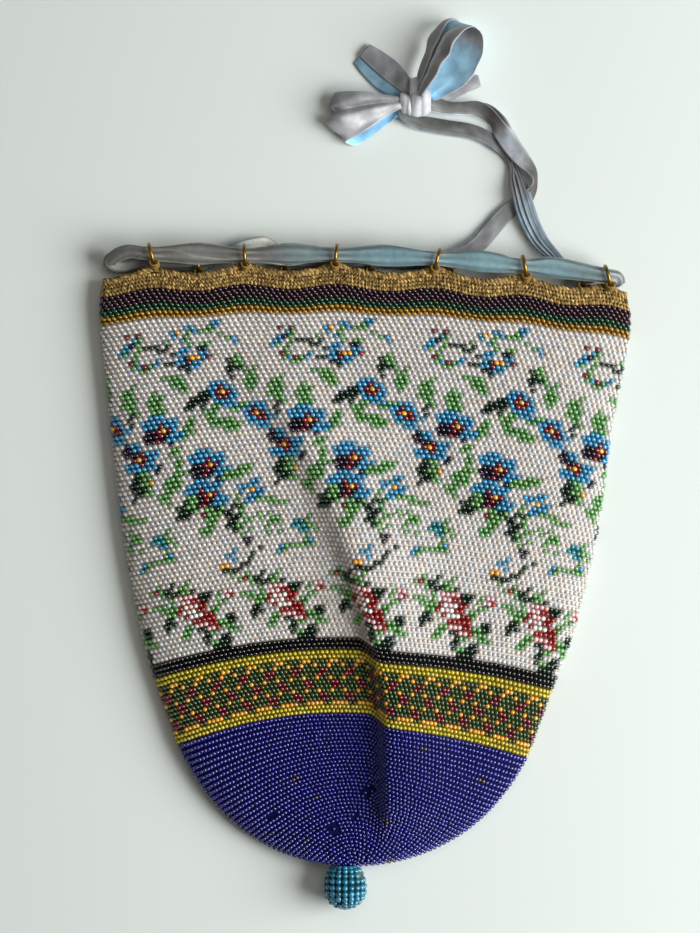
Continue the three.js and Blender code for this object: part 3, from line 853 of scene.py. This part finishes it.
class RETICULE_OT_rings(bpy.types.Operator):
    """Brass rings along the heading and the silk thread that sews them on"""

    bl_idname = "reticule.rings"
    bl_label = "Rings"

    def execute(self, context):
        settings = context.scene.reticule
        tint = np.array(settings.tan_silk) * THREAD_TINT
        threads = []
        for node, turn in RING_TURNS.items():
            centre = ring_centre(node)
            heading = np.radians(turn)
            axis = np.array([np.cos(heading), np.sin(heading), 0])
            wire = torus(centre, axis, RING_RADIUS, RING_WIRE, *RING_FACETS)
            ring = add_piece(node + "_wire", wire, "aged_brass")
            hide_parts(node)
            away = np.array([np.sin(heading), -np.cos(heading), 0])
            for k in range(THREAD_TURNS):
                lean = np.radians(THREAD_FAN * (k - THREAD_TURNS // 2))
                spoke = away * np.cos(lean) + np.array([0, 0, 1]) * np.sin(lean)
                across = np.cross(axis, spoke) + axis * (THREAD_CROSS if k % 2 else -THREAD_CROSS)
                middle = centre + spoke * THREAD_REACH + away * THREAD_DROP
                loop = torus(middle, across, THREAD_RADIUS, THREAD_THICK, *THREAD_FACETS)
                threads.append((*loop, np.tile(tint, (len(loop[0]), 1))))
        add_piece("ring_threads", joined(threads), "silk_knit")
        return {"FINISHED"}


# The ball is broad-shouldered and drawn up to the bag's edge.
BALL_SHOULDER, BALL_STRETCH = 0.45, 1.25
# Its core and beads: depth, facets, bands of beads, beads round the middle, sizes and tints. The core
# is turquoise at an eighth, painted shade between the beads.
CORE_INSET, CORE_LEVELS, CORE_STEPS, CORE_PAINTED_SHADE, CORE_BARE = 0.85, 15, 28, 0.12, 0.5
BALL_INSET, BALL_BANDS, BALL_ROUND, BALL_LEAST = 0.95, 10, 19, 5
BALL_BEAD, BALL_TALLEST = (0.98, 1.02, 0.93), 0.94
BALL_SIDES, BALL_LEVELS, BALL_DEPTH = 12, (0.5, 1.0, 1.7), 0.3
BALL_BLUE = "#2A62A8"
# Gaps in its front where beads are lost and the core shows: x, y and radius.
BALL_GAPS = np.array([[-1.1, -89.5, 1.2], [-7.1, -97.6, 0.8]])


def ball_width(polar):
    """Width of the ball at a polar angle from its top: a sine, to a small power on
    the upper half so that its shoulder is broad."""
    return np.sin(polar) ** np.where(polar < np.pi / 2, BALL_SHOULDER, 1)


def ball_point(centre, radii, polar, turn):
    """Point of the ball at a polar angle and a turn about its upright, the upper half
    drawn up."""
    wide = ball_width(polar)
    shell = np.stack(np.broadcast_arrays(wide * np.cos(turn), np.cos(polar), wide * np.sin(turn)), -1)
    return centre + shell * radii * np.where(shell[..., 1:2] > 0, [1, BALL_STRETCH, 1], 1)


class RETICULE_OT_ball(bpy.types.Operator):
    """Turquoise beaded ball at the bottom"""

    bl_idname = "reticule.ball"
    bl_label = "Bead ball"

    def execute(self, context):
        settings = context.scene.reticule
        rng = np.random.default_rng(3)
        low, high = (np.array(corner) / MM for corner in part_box("bead_ball"))
        centre, radii = (low + high) / 2, (high - low) / 2
        polar = np.linspace(0.02, np.pi - 0.02, CORE_LEVELS)[:, None]
        turn = np.arange(CORE_STEPS)[None, :] * 2 * np.pi / CORE_STEPS
        core = ball_point(centre, radii - CORE_INSET, polar, turn).reshape(-1, 3)
        turquoise = np.array(settings.turquoise)
        bare = in_spots(core, BALL_GAPS[:1]) & (core[:, 2] > centre[2])
        # Painted shade: the core between the beads is dark turquoise.
        tints = np.where(bare[:, None], np.array(settings.tan_silk) * CORE_BARE, turquoise * CORE_PAINTED_SHADE)
        faces = grid_faces(CORE_LEVELS, CORE_STEPS, wrap_columns=True)
        ball = add_piece("ball_core", (core, faces, tints), "silk_knit")
        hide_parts("bead_ball")

        bands = np.linspace(0.2, np.pi - 0.2, BALL_BANDS)
        counts = np.maximum(BALL_LEAST, np.round(BALL_ROUND * ball_width(bands) ** 0.8)).astype(int)
        polar = np.repeat(bands, counts)
        turn = np.concatenate([np.pi / 2 + np.arange(n) * 2 * np.pi / n for n in counts])
        out = np.stack([np.sin(polar) * np.cos(turn), np.cos(polar), np.sin(polar) * np.sin(turn)], -1)
        along = np.stack([-np.sin(turn), np.zeros_like(turn), np.cos(turn)], -1)
        place = ball_point(centre, radii - BALL_INSET, polar, turn)
        axes = np.stack([along, np.cross(out, along), out], 1)
        sizes = np.array(BALL_BEAD) * (1 + rng.normal(0, 0.03, (len(place), 3)))
        sizes[:, 2] = np.minimum(sizes[:, 2], BALL_TALLEST)
        template = bead_template(BALL_SIDES, BALL_LEVELS, BALL_DEPTH)
        kept = ~(in_spots(place, BALL_GAPS) & (place[:, 2] > centre[2]))
        blue = rng.uniform(0, 1, (len(place), 1)) ** 2 * linear(BALL_BLUE)
        tints = np.clip((turquoise * 0.8 + blue * 0.5) * np.exp(rng.normal(0, 0.2, (len(place), 1))), 0, 1)
        beads = scatter(template, place[kept], axes[kept], sizes[kept], tints[kept])
        add_piece("ball_beads", beads, "glass_beads")
        return {"FINISHED"}


def route_at(route, steps):
    """Smooth line through a route's rows: its columns and its direction at even
    steps along it."""
    route = np.array(route, float)
    gone = np.concatenate([[0], np.cumsum(np.linalg.norm(np.diff(route[:, :3], axis=0), axis=1))])
    line = through(np.column_stack([gone, route]), np.linspace(0, gone[-1], steps))[:, 1:]
    return line, unit(np.gradient(line[:, :3], axis=0))


# Shades of the ribbon's silk: slate, a painted shade; grey and blue, its two faces; and pale, the
# selvedge and painted highlights.
SILK_SHADES = (-1, 0, 1, 2)


def cloth_of(sheet, along, shade, settings, painted_shading, selvedge):
    """Closed cloth from its middle surface: both faces lie half a thickness away
    along the normal. Shade takes the upper face from slate at -1, painted shade,
    over grey at 0 and blue at 1, the ribbon's two faces, to pale at 2, a painted
    highlight, and the lower face the other way. Crests of sharp folds are paler as
    a painted highlight and selvedges too by their share, painted_shading scales
    the colour as painted light and shade, and soft waves of painted light and
    shade run along and across."""
    rows, count = sheet.shape[:2]
    across = unit(np.gradient(sheet, axis=1))
    normal = unit(np.cross(along[:, None], across))
    turn = np.linalg.norm(np.gradient(across, axis=1), axis=-1)
    share = np.linspace(-1, 1, count)
    border = smooth(0.91, 0.97, np.abs(share))[None] * selvedge
    # Pale: the selvedge's own pale, and a painted highlight on the crests of sharp folds.
    pale = np.maximum(border, smooth(0.3, 0.8, turn) * 0.45)[..., None]
    edge = np.array(settings.selvedge_and_highlight_silk)
    palette = np.array([settings.painted_shade_silk, settings.grey_silk, settings.blue_silk, settings.selvedge_and_highlight_silk])
    gone = np.arange(rows)[:, None]
    # Painted light and shade: soft waves along and across the ribbon.
    wave = 1 + 0.08 * np.sin(0.21 * gone + 2.5 * share) + 0.07 * np.sin(0.083 * gone - 4 * share + 1)
    colours = []
    for tone in (shade, np.clip(1 - shade, -1, 1.6)):
        base = np.stack([np.interp(tone, SILK_SHADES, palette[:, k]) for k in range(3)], -1)
        body = base[:, None] * (wave * painted_shading)[..., None]
        colours.append(body + (edge - body) * pale)
    half = settings.ribbon_thickness / MM / 2
    points = np.concatenate([sheet + normal * half, (sheet - normal * half)[:, ::-1]], 1)
    colours = np.concatenate([colours[0], colours[1][:, ::-1]], 1)
    skin = grid_faces(rows, 2 * count, wrap_columns=True)
    i = np.arange(count - 1)
    cap = np.stack([i, i + 1, 2 * count - 2 - i, 2 * count - 1 - i], -1)
    far = cap[:, ::-1] + (rows - 1) * 2 * count
    return points.reshape(-1, 3), np.concatenate([skin[:, ::-1], cap, far]), colours.reshape(-1, 3)


# Ways the ribbon lies folded, as sections of nine points from one selvedge to the
# other: shares of half the width across, and heights in millimetres.
FOLDS = {
    "flat": (
        (-1, -0.75, -0.5, -0.25, 0, 0.25, 0.5, 0.75, 1),
        (0, 0.3, 0.5, 0.5, 0.45, 0.6, 0.5, 0.2, 0),
    ),
    "over": (
        (-1, -0.35, 0.3, 0.92, 1, 0.9, 0.5, 0.1, -0.28),
        (0, 0.15, 0.1, 0.15, 0.55, 1.0, 1.15, 1.0, 0.75),
    ),
    "letter": (
        (-0.1, -0.6, -0.97, -0.95, -0.3, 0.4, 0.97, 0.95, 0.15),
        (1.3, 1.2, 0.85, 0.3, 0.05, 0.05, 0.35, 0.95, 1.45),
    ),
    "stack": (
        (-0.95, 0, 0.97, 0.9, 0, -0.97, -0.9, 0, 0.95),
        (0, 0.05, 0.15, 0.5, 0.6, 0.65, 1.05, 1.35, 0.9),
    ),
    "pleats": (
        (-1, -0.45, -0.8, 0.05, -0.35, 0.55, 0.15, 0.85, 1),
        (0.1, 1.1, 0.4, 1.5, 0.4, 1.4, 0.3, 1.0, 0.1),
    ),
    "roof": (
        (-1, -0.75, -0.5, -0.3, -0.1, 0.1, 0.4, 0.7, 1),
        (0.2, 1.2, 1.0, -1.2, 0.6, 1.7, 1.2, 0.1, 0.3),
    ),
}
FOLD_POINTS = 37


def fold_section(name):
    """Smooth section through the nine points of a fold."""
    table = np.column_stack([np.arange(9), *FOLDS[name]]).astype(float)
    return through(table, np.linspace(0, 8, FOLD_POINTS))[:, 1:]


def rumples(gone, share):
    """Irregular low waves along and across a ribbon: a sum of sines of mixed
    direction, length and phase."""
    waves = np.random.default_rng(8).uniform([0.3, -4.5, 0], [1.3, 4.5, 6.3], (9, 3))
    phase = gone[..., None] * waves[:, 0] + share[..., None] * waves[:, 1] + waves[:, 2]
    return np.sin(phase).sum(axis=-1) / 3


def folded_ribbon(
    settings, route, folds, steps, painted_tones, across=None, nose=0.0, selvedge=0.3, tilt=0.0, rumple=0.1,
):
    """Ribbon carried along a route with columns x y z width roll fold shade: its
    section goes from the first fold to the second with the fold column, turned
    about the route by roll degrees. The width lies level, or along a direction
    that goes from the first given to the second. A nose pushes the middle of the
    section out at the route's far end, as on a loop. The tones of the route's
    first and second half are painted light and shade, tilt paints one side of
    the width lighter and the other darker, and painted shading follows the
    rumples, whose height is rumple."""
    line, along = route_at(route, steps)
    t = np.linspace(0, 1, steps)[:, None]
    if across is None:
        level = unit(np.cross([0, 0, 1.0], along))
    else:
        level = unit(np.array(across[0]) * (1 - t) + np.array(across[1]) * t)
    up = unit(np.cross(along, level))
    roll = np.radians(line[:, 4:5])
    side = level * np.cos(roll) + up * np.sin(roll)
    face = up * np.cos(roll) - level * np.sin(roll)
    first, second = (fold_section(name) for name in folds)
    section = first + (second - first) * np.clip(line[:, 5], 0, 1)[:, None, None]
    share = section[..., 0]
    gone = np.cumsum(np.linalg.norm(np.gradient(line[:, :3], axis=0), axis=1))
    wave = rumples(gone[:, None], share)
    reach = (share * line[:, 3:4] / 2)[..., None]
    height = (section[..., 1] + rumple * wave)[..., None]
    sheet = line[:, None, :3] + side[:, None] * reach + face[:, None] * height
    far = unit(line[steps // 2, :3] - (line[0, :3] + line[-1, :3]) / 2)
    push = nose * np.exp(-(((t - 0.5) / 0.2) ** 2)) * (1 - np.abs(share))
    # Painted light and shade: the tones of the two halves, the tilt across the width, and the rumples.
    tone = painted_tones[0] + (painted_tones[1] - painted_tones[0]) * smooth(0.42, 0.58, t)
    tone = tone * (1 + tilt * np.tanh(3 * share) + 0.1 * wave)
    return cloth_of(sheet + far * push[..., None], along, line[:, 6], settings, tone, selvedge)


# The drawn ribbon: turn of its roll in degrees, share that it winds inwards, reach of a pinch in
# millimetres, number of pleats round it, and its cast, as it has yellowed a little.
ROLL, INWARDS, PINCH, PLEATS = 390, 0.16, 4.5, 6
DRAWN_CAST = (1.05, 1.04, 0.91)


def drawn_ribbon(route, steps, settings, pinches):
    """Ribbon rolled on itself, along a route with columns x y z width thick seam
    shade: the section is an ellipse gone round a little more than once and slightly
    inwards, starting at the seam angle, with pleats that deepen at each pinch. Its
    colour is painted light and shade: lightest on top and on the crests of its
    pleats, darker at its sides and in the pleats' hollows, and brighter where its
    shade is above 1, as a painted highlight."""
    line, along = route_at(route, steps)
    side = unit(np.cross([0, 0, 1.0], along))
    up = np.cross(along, side)
    share = np.linspace(0, 1, FOLD_POINTS)[None]
    angle = np.radians(line[:, 5:6] + ROLL * share)
    near = np.linalg.norm(line[:, None, :3] - pinches[None], axis=2).min(axis=1)
    deep = np.exp(-((near / PINCH) ** 2))[:, None]
    wander = 1.3 * np.sin(np.arange(steps)[:, None] * 0.045)
    pleat = np.cos(PLEATS * angle + wander)
    waves = (0.05 + 0.13 * deep) * pleat + 0.035 * np.cos(13 * angle - 2 * wander)
    radius = (1 - INWARDS * share) * (1 + waves)
    reach = (np.cos(angle) * radius * line[:, 3:4] / 2)[..., None]
    height = (np.sin(angle) * radius * line[:, 4:5] / 2)[..., None]
    sheet = line[:, None, :3] + side[:, None] * reach + up[:, None] * height
    # Painted light and shade: brighter above shade 1 as a painted highlight, lighter on pleat crests and on
    # top, darker in hollows and at the sides.
    painted_shading = (0.49 + 0.84 * np.maximum(0, line[:, 6:7] - 1)) * (1 + (0.16 + 0.2 * deep) * pleat)
    painted_shading = painted_shading * (0.74 + 0.34 * np.sin(angle))
    points, faces, colours = cloth_of(sheet[:, ::-1], along, line[:, 6], settings, painted_shading[:, ::-1], 0.2)
    return points, faces, colours * DRAWN_CAST


def add_ribbon(name, node, cloth):
    """Piece of the ribbon that stands for a node."""
    piece = add_piece(name, cloth, "shot_silk_ribbon")
    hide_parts(node)


# Turns of the drawn ribbon at both ends of the heading, in millimetres.
LEFT_TURN = [[-66.5, 94.2, 3.9], [-73.2, 93.2, 4.2], [-76.6, 94.4, 5.9], [-71.6, 97.2, 8.3]]
RIGHT_TURN = [[75.4, 89.7, 7.8], [76.2, 88.4, 6.0], [74.6, 89.4, 4.0], [71.4, 90.8, 3.7]]
RIGHT_END = [[63.0, 91.8, 3.6], [59.8, 93.2, 3.2]]
# Its width and thickness in a ring, and its rise between two.
PINCHED, FULL_RISE = (3.9, 2.7), 0.3
# Seam angle and shade in each ring, and shift, further rise and shade of the fullness after it.
# Shades below 0 are painted shade in slate, and the shade of 2 in the last back fullness is a painted
# highlight where the back ribbon rises above the front.
BACK_LOOKS = ((250, -0.3), (250, -0.4), (250, 0.0), (250, -0.4))
BACK_FULLNESS = ((0, 0, -0.4), (0, 0, -0.4), (6.0, 4.8, 2.0))
FRONT_LOOKS = ((60, -0.3), (140, -0.3), (230, 0.5), (250, 0.8), (400, 0.8), (420, 0.5))
FRONT_FULLNESS = ((0, 0, 0.0), (0, 0, 0.4), (0, 0, 1.0), (0, 0, 1.0), (-4, 0.9, 0.9))


def through_rings(rings, width, thick, looks, fullness):
    """Rows of the drawn ribbon's route: pinched in each ring, with a full row of the
    given width and thickness between one ring and the next."""
    rows = []
    for k, ring in enumerate(rings):
        rows.append([*ring, *PINCHED, *looks[k]])
        if k + 1 < len(rings):
            shift, rise, shade = fullness[k]
            middle = (ring + rings[k + 1]) / 2 + [shift, FULL_RISE + rise, 0]
            rows.append([*middle, width, thick, (looks[k][0] + looks[k + 1][0]) / 2, shade])
    return rows


class RETICULE_OT_drawn(bpy.types.Operator):
    """Ribbon drawn through the rings, full between them and pinched in them"""

    bl_idname = "reticule.drawn"
    bl_label = "Drawn ribbon"

    def execute(self, context):
        settings = context.scene.reticule
        backs = np.array([ring_centre(node) for node in BACK_RINGS])
        fronts = np.array([ring_centre(node) for node in FRONT_RINGS])
        first = backs[:-1][::-1]
        # The last number of each row is its shade: below 0 painted shade in slate, 0 to 1 the grey face to
        # the blue.
        route = [[*(first[0] + [4.2, 0.4, 0]), 4.6, 2.2, 250, 0.0]]
        route += through_rings(first, 5.4, 2.4, BACK_LOOKS, BACK_FULLNESS)
        route += [[*p, 4.2, 2.4, 250, -0.1] for p in LEFT_TURN]
        route += through_rings(fronts, 6.4, 3.2, FRONT_LOOKS, FRONT_FULLNESS)
        route += [[*p, 3.8, 2.4, 420, 0.2] for p in RIGHT_TURN]
        route += [[*backs[-1], 3.8, 2.2, 420, 0.4]] + [[*p, 3.4, 2.2, 420, 0.6] for p in RIGHT_END]
        cloth = drawn_ribbon(route, 420, settings, np.concatenate([fronts, backs]))
        add_ribbon("drawn_ribbon", "ribbon_drawn", cloth)
        return {"FINISHED"}


# Strands and bow in millimetres: x, y, z, width, roll in degrees, fold, shade. A shade below 0 is
# painted shade in slate; above 1 the upper face turns pale, a painted highlight, and the lower slate.
STRAND_LEFT = [
    [26.2, 95.8, 3.0, 3.8, 0, 0, -0.2], [31.4, 98.3, 2.2, 4.4, 0, 0, -0.2],
    [34.4, 100.4, 1.0, 4.9, 0, 0, -0.2], [37.3, 103.7, 0.5, 5.0, 0, 0, -0.2],
    [39.9, 106.8, 0.4, 5.0, 0, 0, -0.2], [42.5, 109.6, 0.4, 4.8, 0, 0, -0.2],
    [45.2, 111.9, 0.4, 4.8, 5, 0, -0.3], [48.2, 114.1, 1.2, 4.6, 20, 0, -0.6],
    [50.4, 116.8, 2.0, 4.4, 45, 0.3, -1.0], [51.0, 119.4, 2.4, 4.2, 60, 0.5, -1.0],
    [50.0, 122.2, 2.4, 4.6, 35, 0.3, -0.8], [47.2, 125.7, 2.4, 5.4, 8, 0.2, 0.0],
    [44.2, 129.6, 2.4, 5.8, 0, 0.2, 0.1], [42.0, 133.2, 2.4, 6.0, -12, 0.2, 0.1],
    [40.3, 136.6, 2.6, 6.2, -42, 0.3, -0.8], [37.4, 139.6, 2.4, 5.2, -35, 0.2, -0.9],
    [33.6, 141.0, 1.8, 4.0, -8, 0, -0.75], [29.2, 140.9, 1.5, 3.6, 0, 0, -0.7],
    [25.2, 141.0, 1.6, 3.6, 0, 0, -0.75], [21.8, 141.7, 2.0, 4.0, 0, 0, -0.6],
    [18.0, 142.4, 2.6, 3.8, 0, 0, -0.4],
]
STRAND_RIGHT = [
    [59.6, 93.4, 3.4, 3.2, 0, 1, 0.8], [56.4, 96.8, 2.6, 4.0, 0, 1, 0.8],
    [53.0, 100.6, 1.8, 5.0, 0, 1, 0.9], [50.3, 105.2, 1.9, 5.6, 0, 1, 0.9],
    [48.3, 110.2, 2.8, 5.9, 0, 1, 0.9], [46.9, 115.4, 2.7, 5.5, 0, 1, 0.3],
    [45.8, 119.9, 1.5, 4.3, 0, 1, -0.2], [44.6, 124.0, 0.6, 3.0, 0, 0.7, -0.2],
    [42.6, 127.2, 0.4, 3.2, 0, 0.3, -0.1], [39.4, 130.2, 0.4, 3.8, 0, 0, 0.0],
    [35.7, 132.6, 0.5, 4.1, 0, 0, -0.2], [31.1, 134.2, 0.5, 4.2, 0, 0, -0.45],
    [25.9, 135.0, 0.5, 4.3, 0, 0, -0.6], [20.8, 135.8, 0.6, 4.3, 0, 0, -0.7],
    [15.6, 137.0, 1.0, 4.1, 0, 0, -0.5], [11.8, 139.0, 1.8, 3.8, 0, 0, -0.3],
    [11.6, 141.4, 2.4, 3.4, 0, 0, -0.2],
]
LOOP_LEFT = [
    [11.6, 142.6, 4.4, 3.0, 0, 0, 0], [5.0, 141.4, 5.2, 7.4, 0, 0.6, 0],
    [0.0, 140.1, 5.6, 11.2, 0, 1, 0], [-4.5, 138.9, 5.0, 14.0, 0, 1, 0],
    [-7.4, 138.0, 3.2, 15.0, 0, 1, 0], [-4.9, 136.8, 1.4, 14.6, 0, 0.4, 0],
    [0.0, 137.6, 1.0, 11.6, 0, 0, 0], [5.0, 139.2, 1.2, 7.6, 0, 0, 0], [11.2, 141.4, 2.2, 3.4, 0, 0, 0],
]
LOOP_RIGHT = [
    [18.6, 144.2, 4.2, 5.4, 0, 0, 0.0], [23.4, 147.4, 5.0, 9.6, 0, 0, 0.0],
    [26.8, 151.2, 5.6, 12.6, 0, 0, 0.0], [29.4, 155.6, 6.0, 13.6, 0, 0, 0.0],
    [31.2, 160.0, 6.2, 13.2, 0, 0, 0.7], [31.4, 163.6, 6.4, 12.4, 0, 0.1, 1.5],
    [29.4, 165.6, 6.6, 12.0, 0, 0.4, 1.0], [26.4, 164.6, 6.8, 12.0, 0, 0.7, 1.0],
    [23.8, 161.4, 7.0, 12.0, 0, 1, 1.1], [21.6, 156.2, 7.0, 11.6, 0, 1, 1.2],
    [18.6, 149.6, 6.4, 9.6, 0, 1, 1.1], [16.4, 144.4, 5.0, 6.0, 0, 1, 0.9],
]
TAIL_LONG = [
    [-0.9, 157.4, 0.6, 7.4, 0, 0, 1], [2.7, 154.3, 0.8, 9.2, 0, 0, 1], [6.3, 151.2, 1.0, 9.8, 0, 0, 1],
    [9.9, 148.1, 1.6, 8.4, 0, 0, 1], [14.2, 144.4, 2.6, 4.6, 0, 0, 1],
]
TAIL_SHORT = [
    [20.0, 144.0, 1.2, 4.2, 0, 0, 0], [24.4, 145.6, 0.4, 4.8, 0, 0, 0], [29.2, 147.6, 0.3, 4.6, 0, 0, 0],
    [33.2, 149.0, 0.4, 4.2, 0, 0.3, 0], [34.6, 149.4, 0.4, 3.6, 0, 0.4, 0],
]
# Node, flat length in metres and shape of each strand and of each piece of the bow. Their tones
# and tilts are painted light and shade.
STRANDS = {
    "strand_left": ("ribbon_strand_left", 0.0785, dict(
        route=STRAND_LEFT, folds=("stack", "flat"), painted_tones=(0.78, 1.1), tilt=0.25)),
    "strand_right": ("ribbon_strand_right", 0.0725, dict(
        route=STRAND_RIGHT, folds=("stack", "pleats"), painted_tones=(0.34, 0.66), tilt=0.3)),
}
BOW = {
    "loop_left": ("bow_loop_left", 0.0405, dict(
        route=LOOP_LEFT, folds=("flat", "roof"), across=((0.26, -0.966, 0), (0.26, -0.966, 0)), nose=3.6,
        painted_tones=(1.4, 1.2), selvedge=0.2, tilt=0.3, rumple=0.4)),
    "loop_right": ("bow_loop_right", 0.0555, dict(
        route=LOOP_RIGHT, folds=("flat", "letter"), across=((0.74, -0.44, 0.5), (0.4, -0.22, 0.89)),
        painted_tones=(2.1, 1.0), selvedge=0.9, rumple=0.25)),
    "tail_long": ("bow_tail_long", 0.020, dict(
        route=TAIL_LONG, folds=("over", "over"), painted_tones=(0.68, 0.7), selvedge=0.2, tilt=0.1, rumple=0.15)),
    "tail_short": ("bow_tail_short", 0.0155, dict(
        route=TAIL_SHORT, folds=("stack", "flat"), painted_tones=(1.0, 1.0))),
}
# Turns round the knot: middle, radii across and up, width, direction of the width.
KNOT_TURNS = [
    ((16.9, 142.5, 3.5), (3.5, 3.2), 5.8, (0.98, 0.18, 0.05)),
    ((12.7, 141.9, 3.1), (2.5, 2.6), 4.6, (0.9, -0.42, 0.1)),
    ((14.9, 146.2, 3.0), (3.4, 1.9), 2.9, (0.97, 0.2, 0.1)),
]
# Painted light: the knot's tone makes its silk brighter than the rest of the ribbon.
KNOT_LENGTH, KNOT_PAINTED_TONE = 0.016, 2.2


class RETICULE_OT_strands(bpy.types.Operator):
    """Two strands of the ribbon from the rings to the bow"""

    bl_idname = "reticule.strands"
    bl_label = "Ribbon strands"

    def execute(self, context):
        settings = context.scene.reticule
        for name, (node, length, shape) in STRANDS.items():
            cloth = folded_ribbon(settings, steps=150, **shape)
            add_ribbon(name, node, cloth)
        return {"FINISHED"}


class RETICULE_OT_bow(bpy.types.Operator):
    """Bow of the ribbon: two loops, two cut tails and the knot"""

    bl_idname = "reticule.bow"
    bl_label = "Bow"

    def execute(self, context):
        settings = context.scene.reticule
        for name, (node, length, shape) in BOW.items():
            cloth = folded_ribbon(settings, steps=110, **shape)
            add_ribbon(name, node, cloth)
        angle = np.radians(np.linspace(-90, 270, 13))
        turns = []
        for middle, radii, width, across in KNOT_TURNS:
            ring = np.zeros((len(angle), 7))
            ring[:, :3] = middle
            ring[:, 1] += radii[0] * np.cos(angle)
            ring[:, 2] += radii[1] * np.sin(angle)
            ring[:, 3] = width
            same = {"painted_tones": (KNOT_PAINTED_TONE, KNOT_PAINTED_TONE), "across": (across, across)}
            turns.append(folded_ribbon(settings, ring, ("flat", "flat"), 60, **same))
        add_ribbon("knot", "bow_knot", joined(turns))
        return {"FINISHED"}


# Lights: place in metres, size, power and colour, all aimed at one point.
LIGHTS = {
    "key": ((0.86, -0.11, 0.6), 0.8, 18.9, "#FBFFFD"),
    "fill": ((-0.8, -0.2, 0.8), 0.8, 0.6, "#FFF0DC"),
    "sky": ((0.1, 0.5, 1.5), 1.0, 4.0, "#F6F4F0"),
}
LIGHT_AIM = (0, 0.02, 0)
ROOM_COLOUR, ROOM_LIGHT = "#F4ECE0", 0.04
FLOOR_HALF, FLOOR_ROUGH = 2.0, 0.85
# Camera straight above, as far away as a photographer would stand.
CAMERA_PLACE, CAMERA_LENS, CAMERA_SENSOR = (-0.0045, 0.033, 1.0), 127.8, 36


class RETICULE_OT_stage(bpy.types.Operator):
    """Pale surface, soft window light from the right, camera from above"""

    bl_idname = "reticule.stage"
    bl_label = "Stage"

    def execute(self, context):
        settings = context.scene.reticule
        scene = context.scene
        material, tree = new_material("pale_card")
        card = {"Base Color": (*settings.floor, 1), "Roughness": FLOOR_ROUGH}
        surface = add_node(tree, "ShaderNodeBsdfPrincipled", **card)
        add_node(tree, "ShaderNodeOutputMaterial", {"Surface": (surface, "BSDF")})
        mesh = bpy.data.meshes.new("floor")
        corners = [(x * FLOOR_HALF, y * FLOOR_HALF, 0) for x, y in ((-1, -1), (1, -1), (1, 1), (-1, 1))]
        mesh.from_pydata(corners, [], [(0, 1, 2, 3)])
        mesh.materials.append(material)
        floor = bpy.data.objects.new("floor", mesh)
        scene.collection.objects.link(floor)

        for name, (place, size, power, code) in LIGHTS.items():
            light = bpy.data.lights.new(name, "AREA")
            light.energy = power
            light.size = size
            light.color = tuple(linear(code))
            lamp = bpy.data.objects.new(name, light)
            lamp.location = place
            aim = np.array(LIGHT_AIM) - place
            pitch = np.arctan2(np.hypot(aim[0], aim[1]), -aim[2])
            lamp.rotation_euler = (pitch, 0, np.arctan2(aim[0], -aim[1]) + np.pi)
            scene.collection.objects.link(lamp)
        world = bpy.data.worlds.new("room")
        world.use_nodes = True
        sky = world.node_tree.nodes["Background"]
        sky.inputs["Color"].default_value = (*linear(ROOM_COLOUR), 1)
        sky.inputs["Strength"].default_value = ROOM_LIGHT
        scene.world = world
        scene.view_settings.view_transform = "Standard"

        camera = bpy.data.cameras.new("camera")
        camera.lens = CAMERA_LENS
        camera.sensor_width = CAMERA_SENSOR
        camera.clip_end = 10
        viewer = bpy.data.objects.new("camera", camera)
        viewer.location = CAMERA_PLACE
        scene.collection.objects.link(viewer)
        scene.camera = viewer
        return {"FINISHED"}


STEPS = (
    RETICULE_OT_pouch, RETICULE_OT_beads, RETICULE_OT_heading, RETICULE_OT_rings, RETICULE_OT_ball,
    RETICULE_OT_drawn, RETICULE_OT_strands, RETICULE_OT_bow, RETICULE_OT_stage,
)


class RETICULE_PT_panel(bpy.types.Panel):
    """Steps of the reticule in the sidebar"""

    bl_idname = "RETICULE_PT_panel"
    bl_label = "Reticule"
    bl_space_type = "VIEW_3D"
    bl_region_type = "UI"
    bl_category = "Reticule"

    def draw(self, context):
        for step in STEPS:
            self.layout.operator(step.bl_idname)
        for name in ReticuleSettings.__annotations__:
            self.layout.prop(context.scene.reticule, name)


CLASSES = (ReticuleSettings, *STEPS, RETICULE_PT_panel)


def register():
    for cls in CLASSES:
        bpy.utils.register_class(cls)
    bpy.types.Scene.reticule = bpy.props.PointerProperty(type=ReticuleSettings)


def unregister():
    del bpy.types.Scene.reticule
    for cls in reversed(CLASSES):
        bpy.utils.unregister_class(cls)


def main():
    """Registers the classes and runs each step."""
    register()
    for step in STEPS:
        group, name = step.bl_idname.split(".")
        getattr(getattr(bpy.ops, group), name)()


if __name__ == "__main__":
    main()
